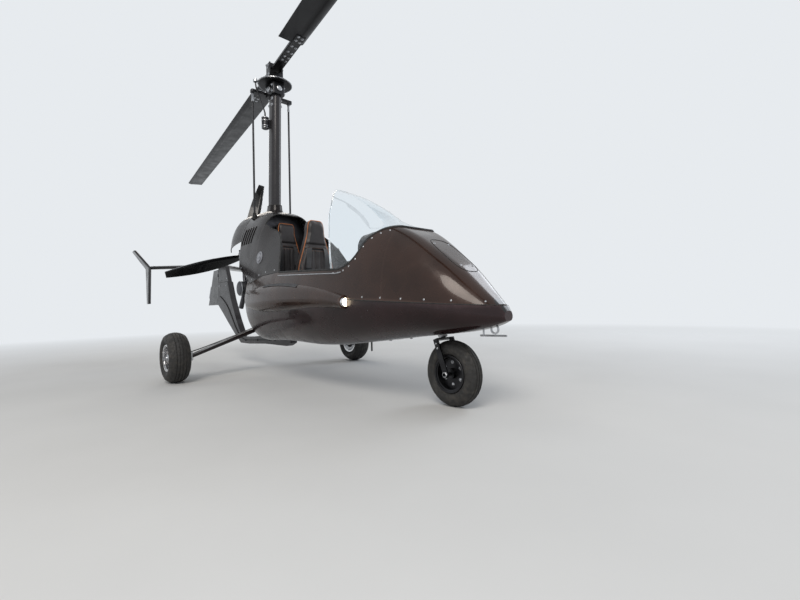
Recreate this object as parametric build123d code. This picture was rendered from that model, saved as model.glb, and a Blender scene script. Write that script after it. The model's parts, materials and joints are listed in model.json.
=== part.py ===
"""Two-seat open gyrocopter: tandem cockpit, pusher propeller, teetering two-blade rotor.

Millimetres. +X forward, +Y to port, +Z up. The origin is on the ground below the rotor hub.
Each function makes one sub-part; the last lines write one file per sub-part.
"""
from build123d import *
from math import cos, radians, sin, sqrt
import os

# How a solid lies on its point: standing on it, ahead of it, or to port of it
ON_BASE = (Align.CENTER, Align.CENTER, Align.MIN)
AHEAD = (Align.MIN, Align.CENTER, Align.CENTER)
TO_PORT = (Align.CENTER, Align.MIN, Align.CENTER)

# Fits and gaps
run_clear = 0.05              # shaft in its bore, on the radius
soft_clear = 0.3              # cushion to what it rests on
move_clear = 6.0              # moving piece to its neighbour

# Hull mouldings
hull_wall = 12.0
split_x, split_z = 1570.0, 612.0            # joint between the two mouldings
split_fall = 0.065                          # its fall per millimetre towards the nose
rail_front_x, rail_front_z = 1440.0, 800.0
rail_rear_x, rail_rear_z = 400.0, 850.0
sill_rise_x, sill_rise_z = 700.0, 836.0     # where the shoulder wall starts to rise
deck_edge_x, deck_edge_z = 1838.0, 1002.0
hull_rear_x = -20.0
firewall_x, firewall_wall = 80.0, 14.0

# Engine cowl
cowl_wall = 8.0
cowl_lip_x, cowl_lip_z = 330.0, 1260.0      # corner of the shoulder wall
cowl_brow_x = 215.0
cowl_tail_x, cowl_tail_z = -650.0, 985.0
cowl_low_x, cowl_low_z = -60.0, 690.0       # seam's rear corner on the hull

# Windscreen and hood
hood_wall = 8.0
screen_wall = 5.0
screen_flange = 22.0
screen_inset = 9.0
screen_rim_x, screen_rim_z = 1120.0, 1400.0

# Seats
front_seat_x, rear_seat_x = 1130.0, 560.0   # front edge of each cushion
front_base_z, rear_base_z = 440.0, 520.0    # top of each seat base
front_cushion_length, rear_cushion_length = 430.0, 370.0
cushion_width, cushion_thick = 420.0, 85.0
back_thick = 95.0
back_shoulder = 235.0                       # half width at the shoulders
headrest_half, headrest_height = 118.0, 210.0
front_back_height, rear_back_height = 660.0, 640.0
front_base_rear_x = 570.0

# Mast and rotor head
mast_length, mast_width = 150.0, 95.0
mast_foot_x, mast_foot_z = -130.0, 318.0
mast_top_z = 2560.0
head_length, head_width, head_height = 170.0, 120.0, 105.0
rotor_shaft_r, rotor_shaft_depth = 18.0, 80.0
ring_gear_r, ring_gear_thick = 150.0, 12.0
tower_length, tower_plate, tower_gap = 90.0, 12.0, 104.0
teeter_bolt_r = 8.0
control_rod_y, control_rod_x, control_rod_r = 180.0, -100.0, 9.0
control_rod_low_z = 1380.0

# Rotor
rotor_z = 2807.0
rotor_radius = 4190.0
rotor_azimuth = 173.9                       # aft blade, counter-clockwise from +X
rotor_chord, rotor_thick = 215.0, 26.0
rotor_root = 520.0                          # where the blade's aerofoil starts
undersling = 32.0
bar_half_length, bar_width, bar_height = 560.0, 88.0, 18.0
strap_height = 8.0

# Engine and propeller
engine_front_x, engine_rear_x = -190.0, -590.0
engine_width, engine_height, engine_z = 330.0, 300.0, 1120.0
gearbox_r, gearbox_length = 82.0, 105.0
prop_x, prop_z = -765.0, 1150.0
prop_radius, prop_count = 810.0, 3
prop_phase = -16.0                          # first blade, seen from starboard
prop_hub_r, prop_hub_length = 72.0, 64.0
prop_shaft_r, prop_shaft_depth = 24.0, 60.0
prop_pitch_root, prop_pitch_tip = 38.0, 14.0

# Tail
boom_width, fin_width = 64.0, 44.0
boom_top_z, boom_low_z = 288.0, 218.0       # below the propeller
keel_low_z = 236.0
hinge_x = -1585.0
rudder_low_z, rudder_high_z = 640.0, 1066.0
rudder_nose_r = 18.0
rudder_pin_r = 5.0
hinge_lug_height, hinge_inset = 26.0, 70.0
stab_z, stab_thick = 1102.0, 34.0
stab_root_x, stab_tip_x = -1370.0, -1985.0  # leading edge
stab_half_span = 640.0
stab_root_chord, stab_tip_chord = 430.0, 275.0
end_fin_cant = 34.0
end_fin_rise, end_fin_drop = 245.0, 430.0
end_fin_top_chord, end_fin_low_chord = 190.0, 170.0
end_fin_thick = 26.0

# Landing gear
main_axle_x, main_axle_y = -60.0, 878.0
main_tyre_r, main_tyre_w, main_rim_r = 201.0, 160.0, 102.0
nose_axle_x = 2117.0
nose_tyre_r, nose_tyre_w, nose_rim_r = 184.0, 105.0, 100.0
main_axle_r, nose_axle_r = 15.0, 10.0
tow_bore_r = 6.0                            # through the nose axle, for a tow bar
fork_rake = 20.0
fork_leg, fork_leg_width = 8.0, 34.0
kingpin_r, kingpin_length = 14.0, 130.0
head_tube_r = 26.0
leg_root_x, leg_root_z = -200.0, 440.0
leg_root_width, leg_root_thick = 130.0, 42.0
leg_tip_width, leg_tip_thick = 80.0, 26.0

# station x, floor z, crown z, half width, height of the widest point, floor half, crown half
HULL = [
    (2485, 478, 528, 34, 500, 12, 12),
    (2400, 448, 640, 108, 512, 30, 22),
    (2200, 412, 842, 212, 545, 60, 50),
    (1850, 376, 1030, 300, 580, 100, 110),
    (1450, 330, 1080, 350, 610, 140, 170),
    (900, 305, 1060, 370, 640, 160, 190),
    (300, 303, 1040, 352, 650, 150, 180),
    (-20, 310, 980, 316, 640, 120, 150),
]

# the same columns for the engine cowl and shoulder walls
COWL = [
    (720, 480, 1120, 352, 700, 150, 150),
    (400, 500, 1300, 338, 760, 130, 110),
    (150, 520, 1440, 324, 790, 140, 90),
    (-150, 560, 1478, 304, 850, 130, 80),
    (-420, 600, 1450, 290, 930, 120, 80),
    (-650, 700, 1360, 262, 1010, 100, 70),
]

# the same columns for one side pod, with y measured from the pod's own centre plane
POD_Y = 335.0
POD = [
    (1560, 556, 640, 46, 598, 4, 4),
    (1000, 560, 742, 66, 650, 10, 10),
    (300, 560, 748, 62, 655, 10, 10),
    (104, 590, 728, 36, 660, 6, 6),
]


def across(x, y=0.0):
    """Plane across the hull at station x: local x to port, local y up."""
    return Plane(origin=(x, y, 0), x_dir=(0, 1, 0), z_dir=(1, 0, 0))


def side(y=0.0):
    """Plane along the hull: local x forward, local y up."""
    return Plane(origin=(0, y, 0), x_dir=(1, 0, 0), z_dir=(0, -1, 0))


def oval(plane, low, high, half, wide, floor_half, crown_half):
    """Section with a flat floor and crown, joined on each side by two quarter ellipses."""
    low_r, high_r = wide - low, high - wide
    floor_r, crown_r = half - floor_half, half - crown_half
    edges = [
        Line((-floor_half, low), (floor_half, low)),
        EllipticalCenterArc((floor_half, wide), floor_r, low_r, -90, arc_size=90),
        EllipticalCenterArc((crown_half, wide), crown_r, high_r, 0, arc_size=90),
        Line((crown_half, high), (-crown_half, high)),
        EllipticalCenterArc((-crown_half, wide), crown_r, high_r, 90, arc_size=90),
        EllipticalCenterArc((-floor_half, wide), floor_r, low_r, 180, arc_size=90),
    ]
    return plane * make_face(edges)


def oval_loft(table, inset=0.0, y=0.0):
    """Loft a table of sections, each drawn in by the same wall."""
    faces = []
    for x, low, high, half, wide, floor_half, crown_half in table:
        plane = across(x, y)
        faces.append(oval(plane, low + inset, high - inset, half - inset, wide, floor_half, crown_half))
    return loft(faces)


def side_slab(points, half_width=1200.0, y=0.0):
    """Closed polygon in side view, run across the hull."""
    face = make_face(Polyline(*points, close=True))
    return extrude(side(y) * face, amount=half_width, both=True)


def rod(start, end, radius):
    """Round bar between two points."""
    start, end = Vector(*start), Vector(*end)
    plane = Plane(origin=start, z_dir=end - start)
    return extrude(plane * Circle(radius), amount=(end - start).length)


def mirrored(shape):
    return mirror(shape, Plane.XZ)


# Hull
SKY = 3200.0
ON_END = (Align.CENTER, Align.CENTER, Align.MIN)
outer_hull = oval_loft(HULL)
inner_hull = oval_loft(HULL[1:], hull_wall)
inner_hull &= side_slab([(-500, 0), (2388, 0), (2388, SKY), (-500, SKY)])

# seam between the hull and the cowl, from the tail forward to the front of the shoulder wall
seam = [
    (cowl_tail_x - 80, cowl_tail_z + 40),
    (cowl_low_x, cowl_low_z),
    (firewall_x, rail_rear_z - 40),
    (rail_rear_x, rail_rear_z - 12),
    (sill_rise_x, sill_rise_z),
]
rail = [(rail_front_x, rail_front_z), (deck_edge_x, deck_edge_z), (deck_edge_x + 4, SKY)]
opening = side_slab([(seam[0][0], SKY)] + seam + rail)
hull_shell = outer_hull - inner_hull - opening


def half_space(above):
    """Space above or below the joint of the two hull mouldings."""
    ends = [(x, split_z - split_fall * (x - split_x)) for x in (-1200.0, 2800.0)]
    far = SKY if above else -400.0
    return side_slab([ends[0], ends[1], (ends[1][0], far), (ends[0][0], far)])


# Steering axis, raked through the nose wheel's centre
rake = radians(fork_rake)
hub_centre = Vector(nose_axle_x, 0, nose_tyre_r)
steer_axis = Vector(-sin(rake), 0, cos(rake))
crown_s = nose_tyre_r + 12.0
crown_thick = 9.0
head_tube_s = crown_s + crown_thick + move_clear
steer_plane = Plane(origin=hub_centre, x_dir=(cos(rake), 0, sin(rake)), z_dir=steer_axis)


def steer_cylinder(radius, start, length):
    """Round bar on the steering axis, from a distance above the wheel's centre."""
    return steer_plane * Pos(0, 0, start) * Cylinder(radius, length, align=ON_END)


def steering_head():
    """Tube that carries the fork's kingpin, bonded through the hull floor."""
    length = kingpin_length - move_clear
    tube = steer_cylinder(head_tube_r, head_tube_s, length)
    return tube - steer_cylinder(kingpin_r + run_clear, head_tube_s, length)


def steering_hole():
    """What the hull floor leaves open for the head tube and the fork's crown below it."""
    return steer_cylinder(head_tube_r, crown_s - 40, kingpin_length + 60)


def side_pod():
    """Long blister on the hull's port side, with the landing light in its front face."""
    return oval_loft(POD, y=POD_Y) - outer_hull


def boom_outline():
    """Side view of the keel boom: level under the hull and propeller, then up into the fin."""
    top = [(260, 300), (180, 318), (hull_rear_x - 230, 318), (prop_x + 120, boom_top_z), (prop_x - 90, boom_top_z)]
    rise = [(-1000, 470), (-1150, 700), (-1240, 900)]
    hinge = hinge_x + rudder_nose_r + move_clear
    back = [(hinge, 900), (hinge, 640), (-1400, 540), (-1250, 440), (-1060, 320), (prop_x - 110, boom_low_z)]
    low = [(prop_x + 120, boom_low_z), (hull_rear_x - 230, keel_low_z), (180, keel_low_z), (260, keel_low_z + 30)]
    return top + rise + back + low


def rudder_lug(z):
    """Hinge eye on the fixed edge ahead of the rudder, at height z."""
    reach = rudder_nose_r + move_clear
    arm = Pos(hinge_x, 0, z) * Box(reach, 16, hinge_lug_height, align=AHEAD)
    eye = Pos(hinge_x, 0, z) * Cylinder(12, hinge_lug_height)
    return arm + eye - Pos(hinge_x, 0, z) * Cylinder(rudder_pin_r + run_clear, hinge_lug_height)


def tail_boom():
    """Keel boom with the lower half of the fin and the lower rudder hinge."""
    return side_slab(boom_outline(), boom_width / 2) + rudder_lug(rudder_low_z + hinge_inset)


# Mast
mast_lean = (0 - mast_foot_x) / (mast_top_z - mast_foot_z)


def mast_x(z):
    """Centre of the mast at height z: it leans back to the foot from below the hub."""
    return mast_foot_x + mast_lean * (z - mast_foot_z)


def mast_section(z, length, width):
    return Pos(mast_x(z), 0, z) * SlotOverall(length, width)


def mast():
    lower = loft([mast_section(mast_foot_z, mast_length, mast_width), mast_section(mast_top_z, mast_length - 20, mast_width - 5)])
    return lower


def rotor_head():
    """Gimbal block on the mast top, with the cross arm that the control rods pull."""
    block = Pos(0, 0, mast_top_z + head_height / 2) * Box(head_length, head_width, head_height)
    block = fillet(block.edges().filter_by(Axis.Z), 18)
    arm = Pos(control_rod_x + 25, 0, mast_top_z + 30) * Box(50, 2 * control_rod_y + 44, 26)
    arm = fillet(arm.edges().filter_by(Axis.Z), 12)
    bore_top = mast_top_z + head_height
    bore = Pos(0, 0, bore_top) * Cylinder(rotor_shaft_r + run_clear, rotor_shaft_depth,
                                          align=(Align.CENTER, Align.CENTER, Align.MAX))
    return block + arm - bore


def control_rods():
    """Push-pull rods from the cowl top to the rotor head's cross arm."""
    rods = Part()
    for y in (control_rod_y, -control_rod_y):
        rods += rod((control_rod_x, y, control_rod_low_z), (control_rod_x + 12, y, mast_top_z + 17), control_rod_r)
    return rods - rotor_head()


cowl_line = [
    (sill_rise_x + 300, sill_rise_z + 30),
    (sill_rise_x, sill_rise_z + 60),
    (cowl_lip_x, cowl_lip_z),
    (cowl_brow_x, SKY),
]
cowl_under = seam + [(sill_rise_x + 300, rail_rear_z - 20), (sill_rise_x + 300, 0), (seam[0][0], 0)]


def engine_cowl():
    """Domed cowl, open underneath and behind, with shoulder walls along the rear seat."""
    outer = oval_loft(COWL)
    dome = outer - oval_loft(COWL, cowl_wall)
    dome -= side_slab(cowl_line + [(sill_rise_x + 300, SKY)])
    dome -= side_slab(cowl_under)
    dome -= mast() + control_rods()
    return dome


def firewall():
    """Bulkhead behind the rear seat, closing the hull and the cowl."""
    sheet = side_slab([(firewall_x - firewall_wall, 0), (firewall_x, 0), (firewall_x, SKY), (firewall_x - firewall_wall, SKY)])
    lower = (inner_hull & sheet) - opening
    upper = (oval_loft(COWL, cowl_wall) & sheet) - side_slab(cowl_under)
    return lower + upper - tail_boom()


# Seats
def seat_base(front_x, rear_x, top_z):
    """Moulded box across the hull, under the cushion and the foot of the seat back."""
    box = side_slab([(rear_x, 0), (front_x - 30, 0), (front_x, top_z - 40), (front_x, top_z), (rear_x, top_z)])
    return (inner_hull & box) - tail_boom()


def cushion(front_x, length, base_z):
    """Flat seat cushion with rounded corners."""
    z = base_z + soft_clear + cushion_thick / 2
    pad = Pos(front_x - length / 2, 0, z) * Box(length, cushion_width, cushion_thick)
    pad = fillet(pad.edges().filter_by(Axis.Z), 60)
    return fillet(pad.faces().sort_by(Axis.Z)[-1].edges(), 25)


def seat_back(front_x, length, base_z, height):
    """Seat back outline with shoulders and headrest, standing behind the cushion."""
    foot = 205.0
    neck = height + 40.0
    outline = [
        (-foot, 0), (-back_shoulder, 300), (-back_shoulder, height - 60), (-headrest_half - 20, neck - 10),
        (-headrest_half, height + headrest_height), (headrest_half, height + headrest_height),
        (headrest_half + 20, neck - 10), (back_shoulder, height - 60), (back_shoulder, 300), (foot, 0),
    ]
    face = make_face(Polyline(*outline, close=True))
    face = fillet(face.vertices().sort_by(Axis.Y)[2:], 45)
    x = front_x - length - soft_clear - 4
    plane = Plane(origin=(x, 0, base_z + soft_clear), x_dir=(0, 1, 0), z_dir=(-1, 0, 0))
    plane = Plane(origin=plane.origin, x_dir=(0, -1, 0), z_dir=(-1, 0, 0))
    slab = extrude(plane * face, amount=back_thick)
    return slab


def glareshield():
    """Hood over the instruments, rising behind the deck edge inside the windscreen."""
    table = [
        (1862, 880, 1015, 132, 930, 60, 60),
        (1790, 875, 1060, 165, 930, 70, 70),
        (1690, 860, 1090, 200, 930, 80, 80),
        (1580, 840, 1104, 222, 930, 90, 90),
        (1455, 830, 1078, 225, 930, 90, 90),
    ]
    outer = oval_loft(table)
    hood = outer - oval_loft(table, hood_wall)
    hood -= side_slab([(1400, 0), (1900, 0), (1900, 930), (1400, 900)])
    return hood - hull_shell


def screen_foot_y(x):
    """Half width of the hull on the cockpit rail at station x, straight between stations."""
    z = rail_front_z + (x - rail_front_x) * (deck_edge_z - rail_front_z) / (deck_edge_x - rail_front_x)
    halves = []
    for station in HULL[3:5]:
        _, _, high, half, wide, _, crown_half = station
        rise = min(1.0, (z - wide) / (high - wide))
        halves.append(crown_half + (half - crown_half) * sqrt(1 - rise * rise))
    share = (x - HULL[4][0]) / (HULL[3][0] - HULL[4][0])
    return z, halves[1] + share * (halves[0] - halves[1])


def screen_section(x, crown_z, inset):
    z, half = screen_foot_y(max(x, rail_front_x))
    half -= screen_inset + inset
    crown_half = 0.22 * half
    arc_x, arc_z = half - crown_half, crown_z - inset - z
    low = z - screen_flange
    edges = [
        Line((-half, low), (half, low)),
        Line((half, low), (half, z)),
        EllipticalCenterArc((crown_half, z), arc_x, arc_z, 0, arc_size=90),
        Line((crown_half, z + arc_z), (-crown_half, z + arc_z)),
        EllipticalCenterArc((-crown_half, z), arc_x, arc_z, 90, arc_size=90),
        Line((-half, z), (-half, low)),
    ]
    return across(x) * make_face(edges)


SCREEN = [(1836, 1052), (1650, 1130), (1450, 1226), (1250, 1330), (1110, 1404)]


def windscreen():
    """Frameless raked screen on the cockpit rail, cut back to a rounded rear rim."""
    outer = loft([screen_section(x, z, 0) for x, z in SCREEN])
    inner = loft([screen_section(x, z, screen_wall) for x, z in SCREEN])
    screen = outer - inner
    rim = [(900, 1700), (screen_rim_x, 1700), (screen_rim_x, screen_rim_z), (1235, 1300), (1310, 1150),
           (1400, 930), (1440, 700), (900, 700)]
    screen -= side_slab(rim)
    screen -= side_slab([(1300, 0), (1440, rail_front_z - screen_flange), (deck_edge_x, deck_edge_z - screen_flange),
                         (1900, 1010), (1900, 0)])
    return screen - hull_shell


# Landing gear
def gear_leg():
    """Port composite leg, tapering from the mast foot out to the axle."""
    tip_y = main_axle_y - main_tyre_w / 2 - 40
    stations = [
        (leg_root_x, 0, leg_root_z, leg_root_width, leg_root_thick),
        (main_axle_x, tip_y, main_tyre_r, leg_tip_width, leg_tip_thick),
    ]
    faces = []
    for x, y, z, width, thick in stations:
        plane = Plane(origin=(x, y, z), x_dir=(1, 0, 0), z_dir=(0, 1, 0))
        faces.append(plane * RectangleRounded(width, thick, thick * 0.45))
    leg = loft(faces)
    return leg - mast() - side_slab([(-900, 0), (900, 0), (900, SKY), (-900, SKY)], 1.0)


def main_axle():
    """Port stub axle with the brake bracket at the leg's tip."""
    tip_y = main_axle_y - main_tyre_w / 2 - 40
    face_y = main_axle_y + main_tyre_w / 2 - 28
    block = Pos(main_axle_x, tip_y, main_tyre_r) * Box(70, 22, 70, align=TO_PORT)
    axle = rod((main_axle_x, tip_y + 22, main_tyre_r), (main_axle_x, face_y, main_tyre_r), main_axle_r)
    return block + axle


def wheel_rim(rim_r, width, bore_r):
    """Disc wheel about the Y axis: hub, dished web and bead flanges."""
    half = width / 2
    outline = [
        (bore_r, -half * 0.55), (bore_r + 16, -half * 0.55), (bore_r + 20, -8), (rim_r - 16, -8),
        (rim_r - 12, -half * 0.72), (rim_r + 6, -half * 0.80), (rim_r + 6, -half * 0.70), (rim_r - 3, -half * 0.60),
        (rim_r - 3, half * 0.60), (rim_r + 6, half * 0.70), (rim_r + 6, half * 0.80), (rim_r - 12, half * 0.72),
        (rim_r - 16, 8), (bore_r + 20, 8), (bore_r + 16, half * 0.55), (bore_r, half * 0.55),
    ]
    face = make_face(Polyline(*outline, close=True))
    return revolve(Plane.XY * face, Axis.Y)


def tyre(tyre_r, width, rim_r):
    """Balloon tyre about the Y axis, seated on the rim's bead."""
    half = width / 2
    bead = half * 0.60
    crown = tyre_r
    edges = [
        Line((rim_r - 3, -bead), (rim_r - 3, bead)),
        Line((rim_r - 3, bead), (rim_r + 6, half * 0.70)),
        ThreePointArc((rim_r + 6, half * 0.70), (rim_r + (tyre_r - rim_r) * 0.48, half), (tyre_r - 14, half * 0.66)),
        ThreePointArc((tyre_r - 14, half * 0.66), (crown, 0), (tyre_r - 14, -half * 0.66)),
        ThreePointArc((tyre_r - 14, -half * 0.66), (rim_r + (tyre_r - rim_r) * 0.48, -half), (rim_r + 6, -half * 0.70)),
        Line((rim_r + 6, -half * 0.70), (rim_r - 3, -bead)),
    ]
    return revolve(Plane.XY * make_face(edges), Axis.Y)


def main_rim():
    return Pos(main_axle_x, main_axle_y, main_tyre_r) * wheel_rim(main_rim_r, main_tyre_w, main_axle_r + run_clear)


def main_tyre():
    return Pos(main_axle_x, main_axle_y, main_tyre_r) * tyre(main_tyre_r, main_tyre_w, main_rim_r)


def nose_rim():
    wheel = wheel_rim(nose_rim_r, nose_tyre_w, nose_axle_r + run_clear)
    return Pos(nose_axle_x, 0, nose_tyre_r) * wheel


def nose_tyre():
    return Pos(nose_axle_x, 0, nose_tyre_r) * tyre(nose_tyre_r, nose_tyre_w, nose_rim_r)


def nose_fork():
    """Kingpin, crown and two legs down to the nose axle, all along the raked steering axis."""
    leg_y = nose_tyre_w / 2 + 10 + fork_leg / 2
    crown = Pos(0, 0, crown_s + crown_thick / 2) * Box(fork_leg_width, 2 * leg_y + fork_leg, crown_thick)
    pin = Pos(0, 0, crown_s + crown_thick) * Cylinder(kingpin_r, kingpin_length, align=ON_BASE)
    fork = crown + pin
    for y in (leg_y, -leg_y):
        fork += Pos(0, y, crown_s / 2) * Box(fork_leg_width, fork_leg, crown_s)
        eye = Pos(0, y, 0) * Rot(90, 0, 0) * Cylinder(fork_leg_width / 2 + 3, fork_leg)
        fork += eye
    axle_length = 2 * leg_y + fork_leg + 24
    axle = Rot(90, 0, 0) * Cylinder(nose_axle_r, axle_length)
    tow_bore = Rot(90, 0, 0) * Cylinder(tow_bore_r, axle_length)
    return steer_plane * (fork + axle - tow_bore)


# Tail
def aerofoil(chord, thick):
    """Symmetric section from nose (x=0) back to the tail (x=-chord): two arcs and a nose."""
    half = thick / 2
    mid = -0.32 * chord
    edges = [
        ThreePointArc((mid, half), (-0.07 * chord, half * 0.66), (0, 0)),
        ThreePointArc((0, 0), (-0.07 * chord, -half * 0.66), (mid, -half)),
        Line((mid, -half), (-chord, -1.5)),
        Line((-chord, -1.5), (-chord, 1.5)),
        Line((-chord, 1.5), (mid, half)),
    ]
    return make_face(edges)


def tail_fin():
    """Fixed fin above the boom, ending in the rudder's hinge line."""
    hinge = hinge_x + rudder_nose_r + move_clear
    top = stab_z - stab_thick / 2
    outline = [(-1240, 900), (-1330, top), (hinge, top), (hinge, 900)]
    return side_slab(outline, fin_width / 2) + rudder_lug(rudder_high_z - hinge_inset)


def rudder():
    """Rudder with a round nose on its hinge line, notched round the fin's eyes."""
    height = rudder_high_z - rudder_low_z
    faces = []
    for z, tail_x in ((rudder_low_z, -2000.0), (rudder_high_z, -1790.0)):
        chord = hinge_x - tail_x
        edges = [
            ThreePointArc((0, rudder_nose_r), (rudder_nose_r, 0), (0, -rudder_nose_r)),
            Line((0, -rudder_nose_r), (-chord, -2)),
            Line((-chord, -2), (-chord, 2)),
            Line((-chord, 2), (0, rudder_nose_r)),
        ]
        faces.append(Pos(hinge_x, 0, z) * make_face(edges))
    blade = loft(faces)
    for z in (rudder_low_z + hinge_inset, rudder_high_z - hinge_inset):
        notch = Pos(hinge_x - 22, 0, z) * Box(80, 80, hinge_lug_height + 2 * move_clear, align=AHEAD)
        blade -= notch
        blade += Pos(hinge_x, 0, z) * Cylinder(rudder_pin_r, hinge_lug_height + 2 * move_clear)
    return blade


def stabiliser():
    """Swept tailplane across the top of the fin."""
    faces = []
    for y, x, chord in (
        (-stab_half_span, stab_tip_x, stab_tip_chord),
        (0, stab_root_x, stab_root_chord),
        (stab_half_span, stab_tip_x, stab_tip_chord),
    ):
        plane = Plane(origin=(x, y, stab_z), x_dir=(1, 0, 0), z_dir=(0, -1, 0))
        faces.append(plane * aerofoil(chord, stab_thick))
    plane = loft(faces, ruled=True)
    return plane - tail_fin()


def end_fin():
    """Port end fin: upright below the tailplane, canted out above it."""
    cant = radians(end_fin_cant)
    low_z = stab_z - end_fin_drop
    rows = [
        (0, low_z, stab_tip_x - 70, end_fin_low_chord),
        (0, stab_z, stab_tip_x, stab_tip_chord),
        (end_fin_rise * sin(cant), stab_z + end_fin_rise * cos(cant), stab_tip_x - 90, end_fin_top_chord),
    ]
    faces = []
    for dy, z, x, chord in rows:
        faces.append(Pos(x, stab_half_span + end_fin_thick / 2 + dy, z) * aerofoil(chord, end_fin_thick))
    return loft(faces, ruled=True) - stabiliser()


# Engine and propeller
def engine_block():
    length = engine_front_x - engine_rear_x
    block = Pos((engine_front_x + engine_rear_x) / 2, 0, engine_z) * Box(length, engine_width, engine_height)
    gearbox = rod((engine_rear_x, 0, prop_z), (engine_rear_x - gearbox_length, 0, prop_z), gearbox_r)
    face_x = engine_rear_x - gearbox_length
    bore = rod((face_x, 0, prop_z), (face_x + prop_shaft_depth, 0, prop_z), prop_shaft_r + run_clear)
    return block + gearbox - bore


def engine_mount():
    """Carrier between the mast and the engine, with a foot under the block."""
    shelf_z = engine_z - engine_height / 2
    shelf = Pos(0, 0, shelf_z) * Box(520, 150, 30, align=(Align.CENTER, Align.CENTER, Align.MAX))
    shelf = Pos(-290, 0, 0) * shelf
    brace = side_slab([(-130, 560), (-130, shelf_z - 30), (-520, shelf_z - 30), (-520, shelf_z - 60)], 40)
    return shelf + brace - mast()


def prop_hub():
    hub = rod((prop_x - prop_hub_length / 2, 0, prop_z), (prop_x + prop_hub_length / 2, 0, prop_z), prop_hub_r)
    shaft = rod((prop_x, 0, prop_z), (engine_rear_x - gearbox_length + prop_shaft_depth - 2, 0, prop_z), prop_shaft_r)
    return hub + shaft


def prop_blade(index):
    """Twisted blade: three sections of chord, thickness and pitch along the radius."""
    rows = [
        (prop_hub_r - 22, 60, 34, prop_pitch_root),
        (0.35 * prop_radius, 118, 22, 30.0),
        (0.75 * prop_radius, 105, 13, 19.0),
        (prop_radius, 60, 6, prop_pitch_tip),
    ]
    faces = []
    for radius, chord, thick, pitch in rows:
        section = Rot(0, 0, 0) * (Pos(0.4 * chord, 0, 0) * aerofoil(chord, thick))
        plane = Plane(origin=(0, 0, radius), x_dir=(sin(radians(pitch)), cos(radians(pitch)), 0), z_dir=(0, 0, 1))
        faces.append(plane * section)
    blade = loft(faces)
    angle = prop_phase + 360.0 / prop_count * index
    blade = Rot(90.0 - angle, 0, 0) * blade
    return Pos(prop_x, 0, prop_z) * blade - prop_hub()


# Rotor
span = Rot(0, 0, rotor_azimuth)
teeter_z = rotor_z + undersling


def rotor_tower():
    """Rotor shaft, prerotator ring gear and the two cheeks that carry the teeter bolt."""
    top = mast_top_z + head_height
    gear_z = top + move_clear
    shaft_low = top - rotor_shaft_depth + 2
    shaft = Pos(0, 0, shaft_low) * Cylinder(rotor_shaft_r, gear_z - shaft_low, align=ON_BASE)
    gear = Pos(0, 0, gear_z) * Cylinder(ring_gear_r, ring_gear_thick, align=ON_BASE)
    base_low = gear_z + ring_gear_thick
    base_high = rotor_z - bar_height / 2 - 20
    width = tower_gap + 2 * tower_plate
    base = Pos(0, 0, base_low) * Box(tower_length, width, base_high - base_low, align=ON_BASE)
    tower = base
    for y in (1, -1):
        cheek = Pos(0, y * (tower_gap + tower_plate) / 2, base_high)
        cheek *= Box(tower_length, tower_plate, teeter_z + 22 - base_high, align=ON_BASE)
        tower += cheek
    bolt = Pos(0, 0, teeter_z) * Rot(90, 0, 0) * Cylinder(teeter_bolt_r, width + 36)
    return shaft + gear + span * (tower + bolt)


def hub_bar():
    """Bar across the hub with the teeter block above it, underslung from the bolt."""
    bar = Pos(0, 0, rotor_z) * Box(2 * bar_half_length, bar_width, bar_height)
    block_width = tower_gap - 2 * 5.0
    block = Pos(0, 0, rotor_z + bar_height / 2) * Box(70, block_width, undersling + 14 - bar_height / 2 + 6,
                                                      align=ON_BASE)
    bore = Pos(0, 0, teeter_z) * Rot(90, 0, 0) * Cylinder(teeter_bolt_r + run_clear, block_width)
    return span * (bar + block - bore)


def rotor_blade(aft):
    """One blade: square-edged root clamp plate and a constant aerofoil out to the tip."""
    root = rotor_root
    plane = Plane(origin=(root, 0, rotor_z), x_dir=(0, 1, 0), z_dir=(1, 0, 0))
    section = Pos(0.3 * rotor_chord, 0, 0) * aerofoil(rotor_chord, rotor_thick)
    blade = extrude(plane * section, amount=rotor_radius - root)
    straps = Part()
    for dz in (1, -1):
        z = rotor_z + dz * (bar_height / 2 + strap_height / 2)
        straps += Pos(root - 90, 0, z) * Box(420, bar_width - 10, strap_height)
    slot = Pos(0, 0, rotor_z) * Box(2 * bar_half_length, bar_width, bar_height)
    blade = blade + straps - slot
    turn = span if aft else span * Rot(0, 0, 180)
    return turn * blade


def pitot_tube():
    tube = rod((2310, 0, 400), (2470, 0, 403), 5)
    stem = rod((2330, 0, 400), (2330, 0, 440), 5)
    return tube + stem - outer_hull


def antenna():
    return rod((1380, 0, 262), (1380, 0, 340), 6) - outer_hull


def landing_light():
    """Port lamp in the front face of the side pod."""
    lamp_x = POD[0][0]
    return rod((lamp_x, POD_Y + 12, 598), (lamp_x + 26, POD_Y + 12, 598), 30) - outer_hull


def hull(above):
    return (hull_shell & half_space(above)) - steering_hole() - tail_boom()


def save(shape, node):
    export_step(shape, f"parts/{node}.step")


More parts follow.
